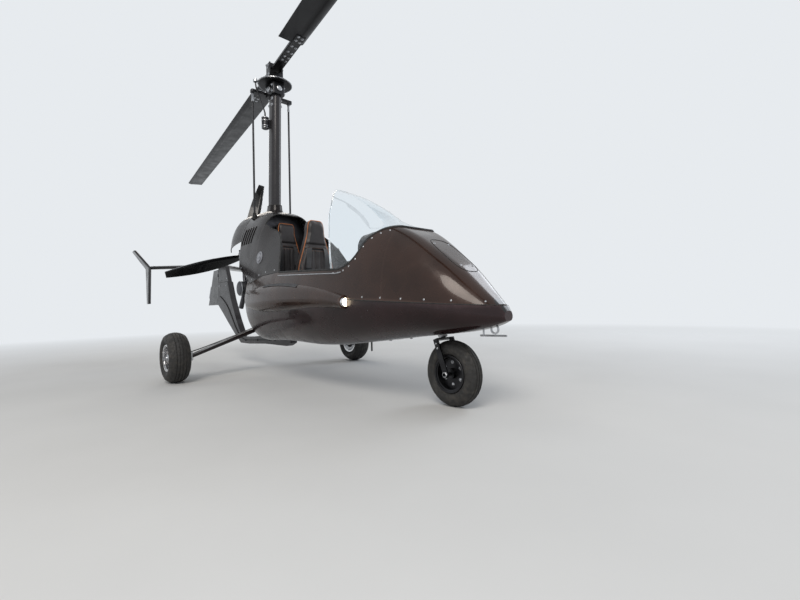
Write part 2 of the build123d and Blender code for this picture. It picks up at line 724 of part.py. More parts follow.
PARTS = {
    "hull_lower": hull(False),
    "hull_upper": hull(True),
    "steering_head": steering_head(),
    "windscreen": windscreen(),
    "glareshield": glareshield(),
    "engine_cowl": engine_cowl(),
    "firewall": firewall(),
    "front_seat_base": seat_base(front_seat_x, front_base_rear_x, front_base_z),
    "rear_seat_base": seat_base(rear_seat_x, firewall_x, rear_base_z),
    "front_seat_cushion": cushion(front_seat_x, front_cushion_length, front_base_z),
    "rear_seat_cushion": cushion(rear_seat_x, rear_cushion_length, rear_base_z),
    "front_seat_back": seat_back(front_seat_x, front_cushion_length, front_base_z, front_back_height),
    "rear_seat_back": seat_back(rear_seat_x, rear_cushion_length, rear_base_z, rear_back_height),
    "mast": mast(),
    "rotor_head": rotor_head(),
    "control_rods": control_rods(),
    "engine_block": engine_block(),
    "engine_mount": engine_mount(),
    "tail_boom": tail_boom(),
    "tail_fin": tail_fin(),
    "rudder": rudder(),
    "stabiliser": stabiliser(),
    "prop_hub": prop_hub(),
    "rotor_tower": rotor_tower(),
    "hub_bar": hub_bar(),
    "rotor_blade_aft": rotor_blade(True),
    "rotor_blade_fore": rotor_blade(False),
    "nose_fork": nose_fork(),
    "nose_rim": nose_rim(),
    "nose_tyre": nose_tyre(),
    "pitot_tube": pitot_tube(),
    "antenna": antenna(),
}
for index in range(prop_count):
    PARTS[f"prop_blade_{index + 1}"] = prop_blade(index)
PAIRS = {
    "side_pod": side_pod(),
    "landing_light": landing_light(),
    "gear_leg": gear_leg(),
    "main_axle": main_axle(),
    "main_rim": main_rim(),
    "main_tyre": main_tyre(),
    "end_fin": end_fin(),
}
for node, shape in PAIRS.items():
    PARTS[f"{node}_left"] = shape
    PARTS[f"{node}_right"] = mirrored(shape)

os.makedirs("parts", exist_ok=True)
for node, shape in PARTS.items():
    save(shape, node)
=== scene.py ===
"""Looks of the two-seat open gyrocopter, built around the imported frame.

Metres, in the model's frame: +X forward, +Y to port, +Z up. The frame's solids carry the shapes;
this script gives every surface its finish and adds the soft parts, trim, fasteners and fittings.
"""
import json
from math import atan2, copysign, cos, exp, hypot, pi, radians, sin, sqrt

import bmesh
import bpy
from mathutils import Matrix, Vector
from mathutils.bvhtree import BVHTree

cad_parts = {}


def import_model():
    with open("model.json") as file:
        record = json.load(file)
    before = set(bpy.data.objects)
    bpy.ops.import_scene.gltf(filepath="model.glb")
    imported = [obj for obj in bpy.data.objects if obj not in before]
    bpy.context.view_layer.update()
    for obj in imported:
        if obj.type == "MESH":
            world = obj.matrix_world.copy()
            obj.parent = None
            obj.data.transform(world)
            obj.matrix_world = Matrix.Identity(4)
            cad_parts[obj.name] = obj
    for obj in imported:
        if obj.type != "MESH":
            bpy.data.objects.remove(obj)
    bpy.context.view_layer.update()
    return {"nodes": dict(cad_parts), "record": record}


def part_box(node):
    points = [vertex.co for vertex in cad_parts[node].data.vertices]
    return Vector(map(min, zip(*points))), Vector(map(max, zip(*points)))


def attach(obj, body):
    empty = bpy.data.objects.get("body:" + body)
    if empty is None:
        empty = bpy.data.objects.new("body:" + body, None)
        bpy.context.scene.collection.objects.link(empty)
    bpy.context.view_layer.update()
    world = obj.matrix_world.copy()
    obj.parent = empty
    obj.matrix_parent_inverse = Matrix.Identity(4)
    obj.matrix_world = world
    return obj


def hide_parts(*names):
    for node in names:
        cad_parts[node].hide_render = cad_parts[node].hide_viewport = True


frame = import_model()
nodes = frame["nodes"]
scene = bpy.context.scene

# Camera, as it stood for the photo
CAMERA_PLACE = Vector((3.677, -1.789, 0.563))
CAMERA_HEADING = radians(138.098)      # counter-clockwise from +X
CAMERA_PITCH = radians(0.885)
CAMERA_ROLL = radians(-1.504)
CAMERA_LENS, SENSOR_WIDTH = 18.95, 36.0

# Stage
BACKDROP = (0.80, 0.83, 0.86)
FLOOR_COLOUR = (0.62, 0.62, 0.61)
FLOOR_RADIUS = 60.0

# Hull
RAIL_REAR, RAIL_FRONT = (0.690, 0.845), (1.470, 0.803)      # x and z along the cockpit's edge
DECK_EDGE = (1.860, 1.032)
WALL_MID, WALL_TOP = (0.590, 1.075), (0.330, 1.245)         # on the shoulder wall's front edge
JOINT_X, JOINT_Z, JOINT_FALL = 1.570, 0.612, 0.065          # seam between the hull's mouldings
SCREEN_RIM = [(1.400, 0.803), (1.345, 1.010), (1.255, 1.200), (1.172, 1.338), (1.055, 1.440)]
COWL_SEAM = [(-0.640, 1.153), (-0.465, 1.163), (-0.187, 1.205), (-0.175, 0.955), (0.100, 0.793),
             (0.400, 0.838), (0.690, 0.845)]
PANEL_X = 1.532
HULL_WALL, COWL_WALL, HOOD_WALL, SCREEN_WALL, SCREEN_INSET = 0.012, 0.008, 0.008, 0.005, 0.009
BROW_X, BROW_Z = 0.215, 1.305                               # rear of the rear seat's opening
STICK_X, PEDAL_X, PEDAL_Y = 1.140, 1.690, 0.088

# station x, floor z, crown z, half width, height of the widest point, floor half, crown half
HULL = [
    (-0.020, 0.310, 0.980, 0.316, 0.640, 0.120, 0.150),
    (0.300, 0.303, 1.040, 0.352, 0.650, 0.150, 0.180),
    (0.900, 0.305, 1.060, 0.370, 0.640, 0.160, 0.190),
    (1.450, 0.330, 1.115, 0.350, 0.610, 0.140, 0.178),
    (1.850, 0.376, 1.034, 0.304, 0.580, 0.100, 0.122),
    (2.200, 0.412, 0.800, 0.212, 0.545, 0.060, 0.050),
    (2.400, 0.448, 0.610, 0.107, 0.512, 0.030, 0.020),
    (2.485, 0.478, 0.522, 0.034, 0.500, 0.012, 0.012),
]
COWL = [
    (-0.640, 0.820, 1.420, 0.206, 1.140, 0.090, 0.070),
    (-0.420, 0.620, 1.476, 0.284, 1.090, 0.120, 0.090),
    (-0.150, 0.560, 1.476, 0.304, 0.950, 0.130, 0.080),
    (0.150, 0.520, 1.440, 0.324, 0.820, 0.140, 0.090),
    (0.400, 0.500, 1.285, 0.338, 0.760, 0.130, 0.100),
    (0.720, 0.480, 1.120, 0.352, 0.700, 0.150, 0.150),
]
HOOD = [
    (1.520, 0.840, 1.046, 0.200, 0.930, 0.080, 0.080),
    (1.600, 0.850, 1.056, 0.195, 0.930, 0.080, 0.080),
    (1.690, 0.860, 1.052, 0.180, 0.930, 0.070, 0.070),
    (1.790, 0.870, 1.034, 0.150, 0.930, 0.060, 0.060),
    (1.866, 0.880, 1.010, 0.110, 0.930, 0.050, 0.050),
]
SCREEN_CROWN = [(1.000, 1.462), (1.250, 1.364), (1.450, 1.256), (1.650, 1.124), (1.850, 1.038)]
DIALS = [(-0.135, 0.935, 0.028), (-0.048, 0.940, 0.040), (0.048, 0.940, 0.040),
         (0.135, 0.935, 0.028), (-0.095, 0.880, 0.020), (0.095, 0.880, 0.020)]

# Seats
SHRINK = 0.011
# Station of each back's face, height of its foot, station of the cushion's front and height of the back
SEATS = {
    "front": {"face_x": 0.6957, "foot_z": 0.440, "front_x": 1.130, "height": 0.868},
    "rear": {"face_x": 0.1857, "foot_z": 0.520, "front_x": 0.560, "height": 0.848},
}
BACK_THICK = 0.095
BACK_OUTLINE = [(0.205, 0.0), (0.215, 0.300), (0.192, 0.470), (0.142, 0.630), (0.112, 0.730), (0.096, 0.800),
                (0.080, 0.838)]
CHANNELS = (-0.135, -0.081, -0.027, 0.027, 0.081, 0.135)
CUSHION_BORDER, CUSHION_REAR, CUSHION_FRONT = 0.162, 0.045, 0.050   # half width, and in from both ends
BACK_BORDER, HEADREST_FOLD = 0.048, 0.640
BORDER_SEAM, CHANNEL_SEAM, FOLD_SEAM = (0.007, 0.006), (0.0055, 0.007), (0.010, 0.010)  # depth and width
CLOTH_FRAMES, CLOTH_PRESSURE = 20, 4.0

# Mast, rotor head and rotor
MAST_FOOT, MAST_TOP = Vector((-0.130, 0, 0.318)), Vector((0, 0, 2.560))
MAST_LENGTH, MAST_WIDTH = 0.142, 0.093
HEAD_HALF, HEAD_MID = (0.085, 0.060), 2.612
ROD_TOP, ROD_FOOT = (-0.088, 0.180, 2.577), (-0.100, 0.180, 1.380)
RING_RADIUS, RING_Z, RING_TEETH = 0.150, 2.677, 72
AZIMUTH = radians(173.9)
ROTOR_Z, TEETER_Z = 2.807, 2.839
STRAP_TOP, BLADE_TIP = 0.017, 4.190
CHORD, LEAD = 0.215, 0.0645

# Engine and propeller
ENGINE_Z = 1.120
CYLINDERS = [(-0.312, 1, "front_left"), (-0.312, -1, "front_right"), (-0.442, 1, "rear_left"),
             (-0.442, -1, "rear_right")]                    # station, hand and name
PROP = Vector((-0.765, 0, 1.150))
PROP_RADIUS, PROP_PHASE = 0.810, -16.0
MUFFLER, MUFFLER_RADIUS = Vector((-0.420, 0, 0.780)), 0.070

# Wheels
MAIN, MAIN_R, MAIN_WIDTH, MAIN_RIM = Vector((-0.060, 0.878, 0.201)), 0.201, 0.160, 0.102
NOSE, NOSE_R, NOSE_WIDTH, NOSE_RIM = Vector((2.117, 0, 0.184)), 0.184, 0.105, 0.100
RAKE = radians(20.0)

X, Y, Z = Vector((1, 0, 0)), Vector((0, 1, 0)), Vector((0, 0, 1))
HANDS = ((1, "left"), (-1, "right"))


# Materials
def material(name):
    """New node material and its Principled shader."""
    made = bpy.data.materials.new(name)
    made.use_nodes = True
    return made, made.node_tree, made.node_tree.nodes["Principled BSDF"]


def put(tree, socket, value):
    """Links an input to a socket, or sets it to a plain value."""
    if isinstance(value, bpy.types.NodeSocket):
        tree.links.new(value, socket)
    else:
        socket.default_value = value


def feed(tree, node, **values):
    """Fills a node's inputs by their names."""
    for key, value in values.items():
        put(tree, node.inputs[key.replace("_", " ")], value)


def add(tree, kind, *inputs, **values):
    """New node: inputs in their order, then settings and inputs by name."""
    node = tree.nodes.new(kind)
    for key, value in values.items():
        if hasattr(node, key):
            setattr(node, key, value)
        else:
            feed(tree, node, **{key: value})
    for socket, value in zip(node.inputs, inputs):
        put(tree, socket, value)
    return node


def place(tree):
    """Position on the object, in metres."""
    return add(tree, "ShaderNodeTexCoord").outputs["Object"]


def noise(tree, scale, detail=3.0):
    """Grey noise in the object's space."""
    return add(tree, "ShaderNodeTexNoise", Scale=scale, Detail=detail, Vector=place(tree)).outputs["Fac"]


def ramp(tree, source, low, high, start=0.35, end=0.65):
    """Colour ramp from low to high, driven by a grey value."""
    made = add(tree, "ShaderNodeValToRGB", source)
    for stop, spot, colour in zip(made.color_ramp.elements, (start, end), (low, high)):
        stop.position, stop.color = spot, (*colour, 1)
    return made.outputs["Color"]


def greys(tree, low, high, scale, detail=3.0):
    """Grey value that wanders between two levels."""
    return ramp(tree, noise(tree, scale, detail), (low, low, low), (high, high, high))


def tint(colour, share, lift=0.0):
    return tuple(share * c + lift for c in colour)


def bump(tree, shader, source, strength, distance):
    """Fine relief of a shader from a grey value."""
    relief = add(tree, "ShaderNodeBump", Strength=strength, Distance=distance, Height=source)
    feed(tree, shader, Normal=relief.outputs["Normal"])


def mixed(tree, share, colour, other):
    """Colour that gives way to a plain one where the share is high."""
    made = add(tree, "ShaderNodeMix", data_type="RGBA", Factor=share, A=colour, B=(*other, 1))
    return made.outputs["Result"]


def worn(tree, colour, bare):
    """Colour with the bare material showing where an edge is rubbed."""
    edge = add(tree, "ShaderNodeNewGeometry").outputs["Pointiness"]
    return mixed(tree, ramp(tree, edge, (0, 0, 0), (1, 1, 1), 0.53, 0.60), colour, bare)


def lined(tree, colour, axis_z, liner):
    """Colour outside, and the liner's on faces that look in towards the axis at that height."""
    normal = add(tree, "ShaderNodeNewGeometry").outputs["Normal"]
    shift = add(tree, "ShaderNodeVectorMath", place(tree), (0, 0, axis_z), operation="SUBTRACT")
    flat = add(tree, "ShaderNodeVectorMath", shift.outputs["Vector"], (0, 1, 1), operation="MULTIPLY")
    facing = add(tree, "ShaderNodeVectorMath", flat.outputs["Vector"], normal, operation="DOT_PRODUCT")
    inside = add(tree, "ShaderNodeMath", facing.outputs["Value"], -0.02, operation="LESS_THAN")
    return mixed(tree, inside.outputs["Value"], colour, liner)


def paint(name, colour, roughness=0.22, coat=0.35, liner_z=None, shine=0.22):
    """Clear-coated paint: faint mottling, fine orange peel, rubbed edges and a little dust."""
    made, tree, shader = material(name)
    mottled = ramp(tree, noise(tree, 5.0, 4.0), tint(colour, 0.8), tint(colour, 1.25, 0.002))
    base = worn(tree, mottled, tint(colour, 2.2, 0.02))
    if liner_z is not None:
        base = lined(tree, base, liner_z, (0.018, 0.018, 0.019))
    bump(tree, shader, noise(tree, 380.0, 1.0), 0.04, 0.0004)
    feed(tree, shader, Base_Color=base, Roughness=greys(tree, roughness - 0.05, roughness + 0.12, 9.0, 6.0),
         Metallic=0.15, Specular_IOR_Level=shine, Coat_Weight=coat, Coat_Roughness=0.05)
    return made


def plastic(name, colour, roughness=0.6):
    """Moulded plastic with a fine grain."""
    made, tree, shader = material(name)
    base = ramp(tree, noise(tree, 14.0, 4.0), tint(colour, 0.8), tint(colour, 1.25))
    bump(tree, shader, noise(tree, 900.0, 2.0), 0.35, 0.0004)
    feed(tree, shader, Base_Color=worn(tree, base, tint(colour, 1.8, 0.01)),
         Roughness=greys(tree, roughness - 0.08, roughness + 0.10, 40.0))
    return made


def metal(name, colour, roughness=0.28):
    """Machined or brushed metal, with smudges and fine tool marks."""
    made, tree, shader = material(name)
    bump(tree, shader, noise(tree, 660.0, 2.0), 0.12, 0.0003)
    feed(tree, shader, Base_Color=ramp(tree, noise(tree, 18.0, 5.0), tint(colour, 0.7), colour),
         Roughness=greys(tree, roughness - 0.08, roughness + 0.12, 220.0), Metallic=1.0)
    return made


def rubber(name, colour=(0.020, 0.019, 0.018), dust=(0.070, 0.062, 0.052)):
    """Rubber with dust in its pores."""
    made, tree, shader = material(name)
    bump(tree, shader, noise(tree, 700.0), 0.4, 0.0005)
    feed(tree, shader, Base_Color=ramp(tree, noise(tree, 26.0, 6.0), colour, dust, 0.48, 0.90),
         Roughness=greys(tree, 0.58, 0.85, 60.0, 4.0))
    return made


def leather(name, colour):
    """Grained leatherette: small cells over broad creases."""
    made, tree, shader = material(name)
    base = ramp(tree, noise(tree, 9.0, 5.0), tint(colour, 0.75), tint(colour, 1.5, 0.004))
    cells = add(tree, "ShaderNodeTexVoronoi", feature="DISTANCE_TO_EDGE", Scale=420.0, Vector=place(tree))
    bump(tree, shader, cells.outputs["Distance"], 0.5, 0.0006)
    feed(tree, shader, Base_Color=base, Roughness=greys(tree, 0.40, 0.58, 30.0), Sheen_Weight=0.12)
    return made


def webbing(name, colour):
    """Woven strap: fine ribs across it, darker in the troughs between them as painted shade, slightly shiny.
    """
    made, tree, shader = material(name)
    wave = add(tree, "ShaderNodeTexWave", bands_direction="Z", Scale=190.0, Distortion=0.6,
               Vector=place(tree))
    ribs = wave.outputs["Fac"]
    bump(tree, shader, ribs, 0.5, 0.0006)
    # colour darkens where the ribs' relief is low: painted shade between the ribs
    feed(tree, shader, Base_Color=ramp(tree, ribs, tint(colour, 0.6), colour, 0.2, 0.8), Roughness=0.55,
         Sheen_Weight=0.3)
    return made


def glazing(name, colour):
    """Clear acrylic with a faint haze of fine scratches."""
    made, tree, shader = material(name)
    feed(tree, shader, Base_Color=(*colour, 1), Transmission_Weight=1.0, IOR=1.49,
         Roughness=greys(tree, 0.0, 0.05, 60.0, 5.0))
    return made


def glow(name, colour, strength):
    """Lit lamp: its colour varies a little over the face."""
    made, tree, shader = material(name)
    light = ramp(tree, noise(tree, 90.0, 2.0), tint(colour, 0.8), colour)
    feed(tree, shader, Base_Color=(*colour, 1), Emission_Color=light, Emission_Strength=strength,
         Roughness=0.08)
    return made


# Hull mouldings: one glossy near-black paint. The upper copy is a lighter, warmer brown as painted light and
# painted reflection of the lit ground; the lower copy is a darker maroon as painted shade.
PAINT_UPPER_LIT = paint("paint_upper", (0.026, 0.0105, 0.0058), liner_z=0.62)
PAINT_LOWER_SHADED = paint("paint_lower", (0.015, 0.0042, 0.0048), liner_z=0.62)
PAINT_DARK = paint("paint_dark", (0.0065, 0.0055, 0.0065), 0.24, 0.20, shine=0.16)
COWL_PAINT = paint("cowl_paint", (0.0085, 0.0055, 0.0055), 0.24, 0.20, 0.95, 0.16)
GEAR_PAINT = paint("gear_paint", (0.010, 0.0065, 0.0065), 0.34, 0.3)
MATT_BLACK = plastic("matt_black", (0.014, 0.014, 0.016))
TRIM = rubber("trim_rubber", (0.012, 0.012, 0.012), (0.030, 0.028, 0.026))
SEAT_LEATHER = leather("seat_leather", (0.014, 0.011, 0.012))
PIPING = leather("piping", (0.42, 0.13, 0.030))
THREAD = webbing("thread", (0.50, 0.17, 0.05))
STRAP = webbing("strap", (0.030, 0.030, 0.034))
GLAZING = glazing("clear_glazing", (0.90, 0.955, 0.985))
STEEL = metal("bright_steel", (0.50, 0.51, 0.53))
BLACK_STEEL = metal("black_steel", (0.045, 0.045, 0.048), 0.36)
ALUMINIUM = metal("engine_metal", (0.34, 0.34, 0.36), 0.38)
RIM_METAL = metal("rim_metal", (0.62, 0.62, 0.63), 0.24)
DARK_METAL = metal("dark_metal", (0.10, 0.10, 0.11), 0.42)
CHROME = metal("chrome", (0.85, 0.85, 0.86), 0.12)
ROTOR_BLACK = paint("rotor_black", (0.005, 0.005, 0.006), 0.38, 0.12)
PROP_BLACK = paint("prop_black", (0.005, 0.005, 0.006), 0.26, 0.35)
TYRE = rubber("tyre")
LAMP = glow("lamp", (1.0, 0.86, 0.62), 9.0)
WHITE_MARK = plastic("white_mark", (0.72, 0.72, 0.70), 0.4)

BY_SLOT = {
    "paint_upper": PAINT_UPPER_LIT, "paint_lower": PAINT_LOWER_SHADED, "paint_dark": PAINT_DARK,
    "gear_paint": GEAR_PAINT, "matt_black": MATT_BLACK, "seat_leather": SEAT_LEATHER,
    "clear_glazing": GLAZING, "bright_steel": STEEL, "engine_metal": ALUMINIUM,
    "rotor_black": ROTOR_BLACK, "prop_black": PROP_BLACK, "tyre": TYRE, "lamp": LAMP,
}
BY_NODE = {
    "engine_cowl": COWL_PAINT, "firewall": DARK_METAL, "rotor_head": BLACK_STEEL, "rotor_tower": BLACK_STEEL,
    "control_rods": BLACK_STEEL, "engine_mount": DARK_METAL, "muffler": DARK_METAL, "hub_bar": BLACK_STEEL,
    "main_rim_left": RIM_METAL, "main_rim_right": RIM_METAL, "nose_rim": BLACK_STEEL,
    "nose_fork": BLACK_STEEL, "spin_motor": BLACK_STEEL, "engine_block": DARK_METAL, "prop_hub": DARK_METAL,
}
for row in frame["record"]["subparts"]:
    piece = nodes[row["node"]]
    piece.data.materials.clear()
    piece.data.materials.append(BY_NODE.get(row["node"], BY_SLOT[row["material_slot"]]))
SLOT_OF = {look.name: name for name, look in BY_SLOT.items()}
SLOT_OF.update({
    "trim_rubber": "matt_black", "piping": "seat_leather", "thread": "seat_leather", "strap": "seat_leather",
    "black_steel": "bright_steel", "rim_metal": "engine_metal", "dark_metal": "engine_metal",
    "chrome": "bright_steel", "white_mark": "matt_black", "cowl_paint": "paint_dark",
})


# Shapes
def axis(point, direction):
    """Frame at a point with its z axis along a direction."""
    turn = Vector(direction).to_track_quat("Z", "Y").to_matrix().to_4x4()
    return Matrix.Translation(Vector(point)) @ turn


def skin(bm, rings, capped=True):
    """Faces between closed rings of vertices, and over both ends."""
    for low, high in zip(rings, rings[1:]):
        for i in range(len(low)):
            bm.faces.new((low[i - 1], low[i], high[i], high[i - 1]))
    if capped:
        bm.faces.new(list(reversed(rings[0])))
        bm.faces.new(rings[-1])


def turned(bm, profile, at, steps=32, ring=False):
    """Turns (radius, height) pairs about the frame's z axis; ring joins the last pair to the first."""
    rings = []
    for radius, height in profile:
        rings.append([bm.verts.new(at @ Vector((radius * cos(a), radius * sin(a), height)))
                      for a in around(steps)])
    skin(bm, rings + rings[:1] if ring else rings, not ring)


def framed(point, *directions):
    """Frame at a point with its three axes along directions."""
    return Matrix.Translation(point) @ Matrix(directions).transposed().to_4x4()


def block(bm, at, size):
    """Box of a size, centred on a point or in a frame."""
    at = at if isinstance(at, Matrix) else Matrix.Translation(at)
    made = bmesh.ops.create_cube(bm, size=1.0)
    for vertex in made["verts"]:
        vertex.co = at @ Vector([c * s for c, s in zip(vertex.co, size)])


def dress(made, look, body="airframe"):
    """Gives a piece its material and body."""
    made.data.materials.append(look)
    scene.collection.objects.link(made)
    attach(made, body)
    return made


def solid(name, bm, look, body="airframe", bevel=0.0):
    """Piece from a bmesh, smooth but for its sharp edges, with its edges rounded if asked."""
    bmesh.ops.recalc_face_normals(bm, faces=bm.faces)
    mesh = bpy.data.meshes.new(name)
    bm.to_mesh(mesh)
    bm.free()
    mesh.shade_smooth()
    mesh.set_sharp_from_angle(angle=radians(38))
    made = dress(bpy.data.objects.new(name, mesh), look, body)
    if bevel:
        round_off = made.modifiers.new("round", "BEVEL")
        round_off.width, round_off.segments, round_off.limit_method = bevel, 2, "ANGLE"
        round_off.harden_normals = False
    return made


def lathe(name, look, profile, at, steps=32, ring=False, body="airframe", bevel=0.0):
    """Piece that is a turned profile, in one frame or in several."""
    bm = bmesh.new()
    for spot in [at] if isinstance(at, Matrix) else at:
        turned(bm, profile, spot, steps, ring)
    return solid(name, bm, look, body, bevel)


def boxes(name, look, rows, body="airframe", bevel=0.0):
    """Piece of boxes, each with its centre or frame and its size."""
    bm = bmesh.new()
    for at, size in rows:
        block(bm, at, size)
    return solid(name, bm, look, body, bevel)


def tube(name, points, radius, look, body="airframe", closed=False, smooth=False):
    """Round line through its points, or a smooth hose that they steer."""
    data = bpy.data.curves.new(name, "CURVE")
    data.dimensions, data.bevel_depth, data.bevel_resolution = "3D", radius, 3
    data.use_fill_caps = True
    spline = data.splines.new("NURBS" if smooth else "POLY")
    spline.points.add(len(points) - 1)
    for target, point in zip(spline.points, points):
        target.co = (*point, 1)
    spline.use_cyclic_u = closed
    if smooth:
        spline.order_u = 4
        spline.use_endpoint_u = True
        spline.resolution_u = 8
    return dress(bpy.data.objects.new(name, data), look, body)


def ribbon(bm, path, width, thick):
    """Flat strap along its (point, normal) pairs, lying across the normals."""
    rows = []
    for i, (point, normal) in enumerate(path):
        ahead, behind = path[min(i + 1, len(path) - 1)][0], path[max(i - 1, 0)][0]
        across = (ahead - behind).cross(normal).normalized()
        corners = [(-0.5, 0), (0.5, 0), (0.5, 1), (-0.5, 1)]
        rows.append([bm.verts.new(point + width * u * across + thick * v * normal) for u, v in corners])
    skin(bm, rows)


TREES = {}


def cast(piece, start, direction):
    """Where a line from start meets a piece, and the surface's normal there."""
    if piece.name not in TREES:
        TREES[piece.name] = BVHTree.FromObject(piece, bpy.context.evaluated_depsgraph_get())
    point, normal, _, _ = TREES[piece.name].ray_cast(Vector(start), Vector(direction).normalized())
    return point, normal


def flank(node, x, z, hand=1, reach=1.2):
    """Point and normal on the outside of a hull piece at x and z, on one side."""
    return cast(nodes[node], (x, hand * reach, z), (0, -hand, 0))


def from_above(node, x, y):
    """Point and normal on the upper side of a piece at x and y."""
    return cast(nodes[node], (x, y, 2), (0, 0, -1))


def arc(start, middle, end, count):
    """Points along the circle through three points in a plane."""
    (ax, ay), (bx, by), (cx, cy) = start, middle, end
    d = 2 * (ax * (by - cy) + bx * (cy - ay) + cx * (ay - by))
    sa, sb, sc = ax * ax + ay * ay, bx * bx + by * by, cx * cx + cy * cy
    ux = (sa * (by - cy) + sb * (cy - ay) + sc * (ay - by)) / d
    uy = (sa * (cx - bx) + sb * (ax - cx) + sc * (bx - ax)) / d
    radius = hypot(ax - ux, ay - uy)
    first, via, last = (atan2(y - uy, x - ux) for x, y in (start, middle, end))
    sweep, via_sweep = (last - first) % (2 * pi), (via - first) % (2 * pi)
    if via_sweep > sweep:
        sweep -= 2 * pi
    turns = [first + sweep * i / (count - 1) for i in range(count)]
    return [(ux + radius * cos(a), uy + radius * sin(a)) for a in turns]


def between(low, high, count):
    """Evenly spaced numbers, both ends included."""
    return [low + (high - low) * i / (count - 1) for i in range(count)]


def around(count):
    """Evenly spaced angles round a circle."""
    return [2 * pi * i / count for i in range(count)]


def bolt(bm, point, direction, radius):
    """Hexagon head on a washer, standing on a surface."""
    at = axis(point, direction)
    washer = [(1.75 * radius, -0.3 * radius), (1.75 * radius, 0.22 * radius), (1.6 * radius, 0.3 * radius)]
    turned(bm, washer, at, 20)
    turned(bm, [(radius, 0.3 * radius), (radius, 0.95 * radius), (0.82 * radius, 1.1 * radius)], at, 6)


def screw(bm, point, direction, radius):
    """Low domed screw head with a recess."""
    at = axis(point, direction)
    turned(bm, [(radius, -0.4 * radius), (radius, 0.12 * radius), (0.8 * radius, 0.34 * radius),
                (0.42 * radius, 0.44 * radius), (0.36 * radius, 0.16 * radius)], at, 16)


def fasteners(name, places, radius, body="airframe", kind=bolt):
    """One piece with a bolt or screw at each (point, direction)."""
    bm = bmesh.new()
    for point, direction in places:
        kind(bm, point, direction, radius)
    return solid(name, bm, STEEL, body)


def smooth_value(xs, ys, x):
    """Value at x on a smooth curve through the stations."""
    i = max(0, min(len(xs) - 2, sum(1 for station in xs if station <= x) - 1))
    slopes = []
    for k in (i, i + 1):
        low, high = max(0, k - 1), min(len(xs) - 1, k + 1)
        slopes.append((ys[high] - ys[low]) / (xs[high] - xs[low]))
    run = xs[i + 1] - xs[i]
    t = (x - xs[i]) / run
    return ((2 * t ** 3 - 3 * t ** 2 + 1) * ys[i] + (t ** 3 - 2 * t ** 2 + t) * run * slopes[0]
            + (3 * t ** 2 - 2 * t ** 3) * ys[i + 1] + (t ** 3 - t ** 2) * run * slopes[1])


def broken_value(line, x):
    """Value at x on straight runs between points."""
    for (x0, z0), (x1, z1) in zip(line, line[1:]):
        if x <= x1:
            return z0 + (z1 - z0) * (x - x0) / (x1 - x0)
    return line[-1][1]


def section(table, x):
    """Floor, crown, half width, widest height, floor half and crown half at station x."""
    xs = [row[0] for row in table]
    return [smooth_value(xs, [row[k] for row in table], x) for k in range(1, 7)]


def half_at(table, x, z, inset=0.0):
    """Half width of a section at height z, drawn in by a wall."""
    low, high, half, wide, floor_half, crown_half = section(table, x)
    low, high, half = low + inset, high - inset, half - inset
    if z >= wide:
        rise = min(1.0, (z - wide) / (high - wide))
        return crown_half + (half - crown_half) * sqrt(1 - rise * rise)
    fall = min(1.0, (wide - z) / (wide - low))
    return floor_half + (half - floor_half) * sqrt(1 - fall * fall)


def shell_grid(bm, table, wall, stations, low_line, top_line=None, rows=30, crown_rows=8):
    """Wall from one line up to another on both sides, or over the crown where there is no top line."""
    columns = []
    for x in stations:
        pair = []
        for inset in (0.0, wall):
            crown = section(table, x)[1] - inset
            low = low_line(x)
            top = crown if top_line is None else min(crown, top_line(x))
            heights = [low + (top - low) * sin(0.5 * pi * k / rows) for k in range(rows + 1)]
            port = [(half_at(table, x, z, inset), z) for z in heights]
            star = [(-y, z) for y, z in reversed(port)]
            lines = [port, star]
            if top_line is None:
                y0, z0 = port[-1]
                lines = [port + [(y0 - 2 * y0 * k / crown_rows, z0) for k in range(1, crown_rows)] + star]
            pair.append([[bm.verts.new((x, y, z)) for y, z in line] for line in lines])
        columns.append(pair)
    for (outer0, inner0), (outer1, inner1) in zip(columns, columns[1:]):
        for k, line in enumerate(outer0):
            for j in range(len(line) - 1):
                bm.faces.new((outer0[k][j], outer0[k][j + 1], outer1[k][j + 1], outer1[k][j]))
                bm.faces.new((inner0[k][j], inner1[k][j], inner1[k][j + 1], inner0[k][j + 1]))
            for j in (0, len(line) - 1):
                bm.faces.new((outer0[k][j], outer1[k][j], inner1[k][j], inner0[k][j]))
    for outer, inner in (columns[0], columns[-1]):
        for k, line in enumerate(outer):
            for j in range(len(line) - 1):
                bm.faces.new((outer[k][j], outer[k][j + 1], inner[k][j + 1], inner[k][j]))


def slot_loft(bm, sections, steps=48):
    """Solid through level slot sections of (centre, length, width)."""
    rings = []
    for centre, length, width in sections:
        reach = (length - width) / 2
        ring = []
        for i in range(steps):
            turn = 2 * pi * (i + 0.5) / steps
            shift = copysign(reach, cos(turn)) + width / 2 * cos(turn)
            ring.append(bm.verts.new(centre + Vector((shift, width / 2 * sin(turn), 0))))
        rings.append(ring)
    skin(bm, rings)


def mirrored(point, hand):
    """Point or direction on the port side, or its mirror image."""
    return Vector((point[0], hand * point[1], point[2]))


def carried_over(line, middle=()):
    """Port line, and then the same line back on the starboard side."""
    return line + list(middle) + [mirrored(p, -1) for p in reversed(line)]


def on_both_sides(places):
    """Places of fasteners on the port side, and their mirror images."""
    return places + [(mirrored(p, -1), mirrored(n, -1)) for p, n in places]


def both_halves(pairs):
    """Points of a port half outline as (y, z), and then the starboard half."""
    return pairs + [(-y, z) for y, z in reversed(pairs)]


